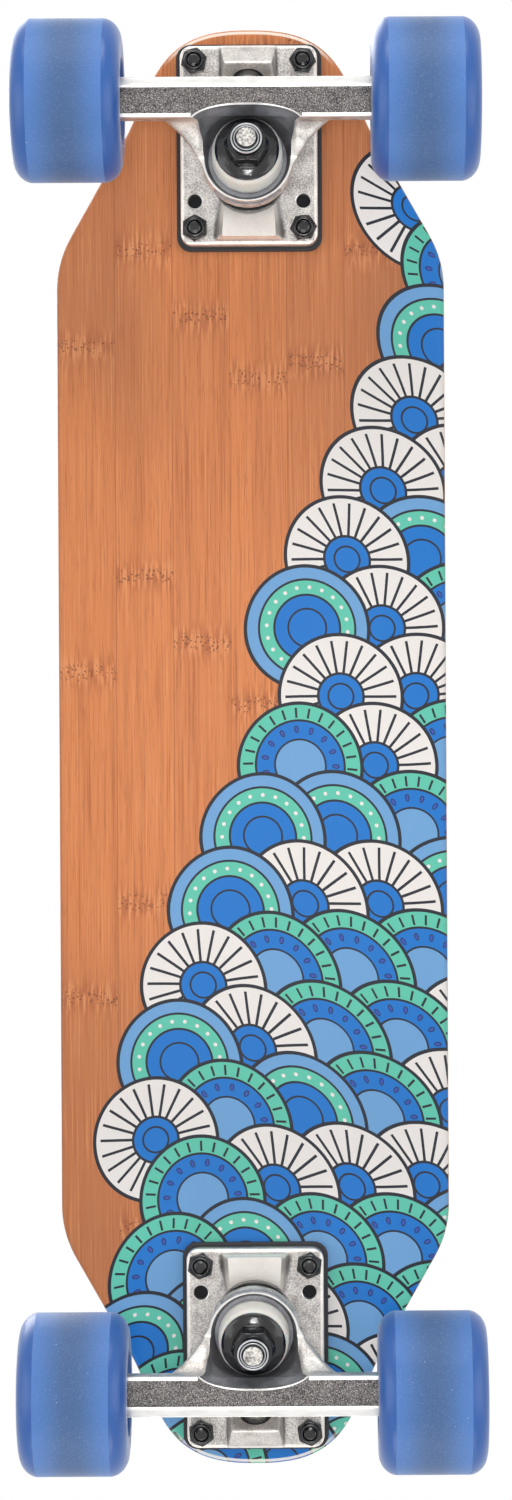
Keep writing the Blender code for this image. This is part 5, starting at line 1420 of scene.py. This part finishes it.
pin = [(0.0016, 0.0)] + chamfered(0.0016, 0.0054, PIN_FLATS, 0.0007)
pin += [(0.0054, PIN_RADIUS), (0.0420, PIN_RADIUS)] + thread(0.0430, 0.0574, PIN_RADIUS, PIN_PITCH)
pin += [(0.0588, 0.0037, 0.0003), (0.0588, 0.0)]
tip = [(0.0586, 0.0), (0.0586, 0.0036), (0.05885, 0.0036, 0.0001), (0.05885, 0.0)]
pin_mesh = joined([
    turned(pin, 72, BLACK, PIN_FLATS, hollow=False),
    turned(tip, 48, STAMPED, hollow=False),
    bright_ring(0.0578, 0.0043, 0.0047),
])
low_washer_mesh = turned([
    (0.0099, PIN_BORE, 0.0001), (0.0099, 0.0134, 0.0008), (0.0109, 0.0144, 0.0008),
    (0.0148, 0.0144, 0.0003), (0.0148, 0.0134, 0.0003), (0.0114, 0.0131, 0.0006),
    (0.0114, PIN_BORE, 0.0001),
], 96, BLACK)
top_washer_mesh = turned([
    (0.0442, PIN_BORE, 0.0001), (0.0442, 0.0120, 0.0004), (0.0450, 0.0120, 0.0004),
    (0.0456, 0.0112, 0.0006), (0.0466, 0.00835, 0.0006), (0.0466, PIN_BORE, 0.0001),
], 96, BLACK)
nut = lock_nut(NUT_LOW, PIN_FLATS, 0.0072, NUT_HEIGHT, 0.00595, PIN_RADIUS + 0.00015)
nut_mesh = joined([*nut, bright_ring(NUT_LOW + NUT_HEIGHT + 0.00005, 0.0052, 0.0058)])
on_trucks(KINGPIN_FRAME, {
    "pin": (pin_mesh, "deck", "axle_steel", "kingpin"),
    "low_washer": (low_washer_mesh, "deck", "black_steel", "lower_washer"),
    "top_washer": (top_washer_mesh, "deck", "black_steel", "upper_washer"),
    "pin_nut": (nut_mesh, "deck", "black_steel", "kingpin_nut"),
})
print("pin faces:", len(pin_mesh.polygons), "nut faces:", len(nut_mesh.polygons))

# %% [markdown]
# ## Bushings
# Two urethane bushings squeeze the hanger's ring between them and are all the springs that a
# truck has.

# %% Bushings
LOWER = (0.0117, 0.0281)
UPPER = (0.0327, 0.0439)
low_bush = turned([
    (LOWER[0], PIN_BORE, 0.0004), (LOWER[0], 0.0128, 0.0006), (LOWER[0] + 0.0037, 0.0128, 0.0005),
    (LOWER[0] + 0.0053, 0.0132, 0.0006), (LOWER[0] + 0.0110, 0.0132), (LOWER[1], 0.0132, 0.0009),
    (LOWER[1], PIN_BORE, 0.0004),
], 96, CREAM)
top_bush = turned([
    (UPPER[0], PIN_BORE, 0.0004), (UPPER[0], 0.0133, 0.0008), (UPPER[0] + 0.0050, 0.0132),
    (UPPER[1] - 0.0016, 0.0130, 0.0008), (UPPER[1], 0.0122, 0.0007), (UPPER[1], PIN_BORE, 0.0004),
], 96, CREAM)
bushings = {
    "low_bushing": (low_bush, "lower_bushing", LOWER[0], LOWER[1]),
    "top_bushing": (top_bush, "upper_bushing", UPPER[1], UPPER[0]),
}
for end, turn in ENDS.items():
    pin_here = turn @ KINGPIN_FRAME
    for name, (mesh, node, fixed, moving) in bushings.items():
        copy = placed(mesh, pin_here)
        bush = dress(f"{end}_{name}", copy, None, [f"{end}_{node}"])
        ends = [pin_here @ Vector((0.0, 0.0, height)) for height in (fixed, moving)]
        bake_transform(bush)
print("bushings bend from", LOWER[0], "to", UPPER[1])

# %% [markdown]
# ## Axles and bearings
# Each wheel turns on two ball bearings with a spacer between them. Thin speed washers keep the
# bearings' inner rings off the hanger and the nut. All of it is turned, and most of it is hidden
# in the wheels, but it shows from the side.

# %% Axle, bearings, spacers and nuts
AXLE_RADIUS = 0.0040
AXLE_HALF = 0.0857


def sleeve(half_length, radius, rounding):
    """A short tube round the axle."""
    half = [(-half_length, AXLE_BORE, 0.0001), (-half_length, radius, rounding)]
    return turned(half + flipped(half), 48, ZINC)


half_axle = [(0.0770, AXLE_RADIUS)] + thread(0.0778, 0.0848, AXLE_RADIUS, PIN_PITCH)
half_axle += [(AXLE_HALF, AXLE_RADIUS - 0.0006), (AXLE_HALF, 0.0)]
axle_mesh = turned(flipped(half_axle) + half_axle, 48, STEEL, hollow=False)
race = [
    (-0.0035, AXLE_BORE, 0.0002), (-0.0035, 0.0060, 0.0002), (-0.0031, 0.0062),
    (-0.0031, 0.0092), (-0.0035, 0.0094, 0.0002), (-0.0035, 0.0110, 0.0004),
]
seal = [(-0.0032, 0.0063), (-0.0033, 0.0066), (-0.0033, 0.0088), (-0.0032, 0.0091)]
bearing_parts = [turned(race + flipped(race), 64, SHIELD), turned(seal + flipped(seal), 64, SEAL)]
bearing_mesh = joined(bearing_parts)
spacer_mesh = sleeve(0.00485, 0.00525, 0.0003)
washer_mesh = sleeve(0.0004, 0.0058, 0.0002)
axle_nut_mesh = joined(lock_nut(0.0, 0.0127, 0.0042, 0.0062, 0.0054, AXLE_BORE, finish=ZINC))
print("axle faces:", len(axle_mesh.polygons), "bearing faces:", len(bearing_mesh.polygons))

# %% Axles and bearings on the board
NUT_X = 0.0793
BEARING_OFFSET = 0.0085
WASHER_X = {"inner": 0.0533, "outer": 0.0787}

for end, axle in AXLES.items():
    hanger = end + "_hanger"
    dress(end + "_axle_rod", placed(axle_mesh, axle), hanger, [end + "_axle"])
    for side, outward in (("left", axle @ spin(math.pi, "X")), ("right", axle)):
        wheel = f"{end}_{side}"

        def hang(name, mesh, x, body, slot, *nodes):
            dress(f"{wheel}_{name}", placed(mesh, outward @ move(0.0, 0.0, x)), body, nodes)

        for name, shift in (("inner", -BEARING_OFFSET), ("outer", BEARING_OFFSET)):
            node = f"{wheel}_{name}_bearing"
            hang(name + "_race", bearing_mesh, WHEEL_X + shift, wheel + "_wheel", "bearing_steel", node)
        hang("sleeve", spacer_mesh, WHEEL_X, hanger, "spacer_metal", wheel + "_spacer")
        hang("end_nut", axle_nut_mesh, NUT_X, hanger, "zinc_steel", wheel + "_axle_nut")
        for name, x in WASHER_X.items():
            hang(name + "_speed_washer", washer_mesh, x, hanger, "zinc_steel")
print("both axles carry their wheels, bearings and nuts")

# %% [markdown]
# ## Mounting hardware
# Eight equal bolts with eight equal lock nuts hold the trucks on. Nobody lines them up, so each
# has its own turn. A second tree copies a piece to a list of points, turns each copy at random
# from a fixed seed and makes the copies real.

# %% The fastener tree
inputs = {"Places": "Geometry", "Piece": "Object", "Flip": "Float", "Seed": "Int", "Finish": "Material"}
FASTENERS = Recipe("fasteners", inputs)
places, piece, flip, seed, finish = FASTENERS.given
shape = FASTENERS.node("GeometryNodeObjectInfo", inputs={0: piece}, output=4)
limits = {2: 0.0, 3: 2 * math.pi, 8: seed}
turn = FASTENERS.node("FunctionNodeRandomValue", {"data_type": "FLOAT"}, limits, 1)
sockets = {0: places, 2: shape, 5: FASTENERS.join(flip, 0.0, turn)}
FASTENERS.end(FASTENERS.node("GeometryNodeInstanceOnPoints", inputs=sockets), finish)


def scattered(mesh, z, flip, seed, material):
    """Eight copies of a piece at the bolts' places, at one height."""
    piece = new_object("one_piece", mesh)
    values = {"Piece": piece, "Flip": flip, "Seed": seed, "Finish": material}
    return FASTENERS.run([(x, y, z) for x, y in BOLT_PLACES], values, piece)


print("fastener nodes:", len(FASTENERS.tree.nodes))

# %% Mounting bolts and nuts
BOLT_RADIUS = 0.0024
BOLT_TOP = DECK_TOP + 0.0004
NUT_SEAT = PLATE_BOTTOM - SEAT_GAP
BOLT_LENGTH = BOLT_TOP - NUT_SEAT + 0.0057
NUT_SEED, BOLT_SEED = 7, 4

bolt = [(0.0, 0.0), (0.0, 0.0046, 0.0002), (-0.0004, 0.0046, 0.0002)]
bolt += [(-0.0028, BOLT_RADIUS, 0.0003), (-0.0100, BOLT_RADIUS)]
bolt += reversed(thread(-BOLT_LENGTH + 0.0006, -0.0104, BOLT_RADIUS, 0.0008))
bolt += [(-BOLT_LENGTH, BOLT_RADIUS - 0.0006, 0.0002), (-BOLT_LENGTH, 0.0)]
thin, long = 0.0006, 0.0026
cross = [
    (thin, thin), (thin, long), (-thin, long), (-thin, thin),
    (-long, thin), (-long, -thin), (-thin, -thin), (-thin, -long),
    (thin, -long), (thin, -thin), (long, -thin), (long, thin),
]
recess = [[(x * 0.45, y * 0.45, -0.0014) for x, y in cross], [(x, y, 0.0010) for x, y in cross]]
bolt_mesh = cut(turned(bolt, 40, BLACK, hollow=False), [solid(recess, BLACK)])
steel, nylon = lock_nut(0.0, 0.0090, 0.0036, 0.0052, 0.0039, BOLT_RADIUS + 0.00015, 60)
nuts = joined([
    scattered(steel, NUT_SEAT, math.pi, NUT_SEED, BLACK),
    scattered(nylon, NUT_SEAT, math.pi, NUT_SEED, NYLON),
])
bolts = scattered(bolt_mesh, BOLT_TOP, 0.0, BOLT_SEED, BLACK)
bolt_nodes = [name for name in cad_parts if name.endswith("_bolt")]
nut_nodes = [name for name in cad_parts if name.endswith(("inner_nut", "outer_nut"))]
dress("mounting_bolts", bolts, "deck", bolt_nodes)
dress("mounting_nuts", nuts, "deck", nut_nodes)
print("bolt faces:", len(bolt_mesh.polygons))
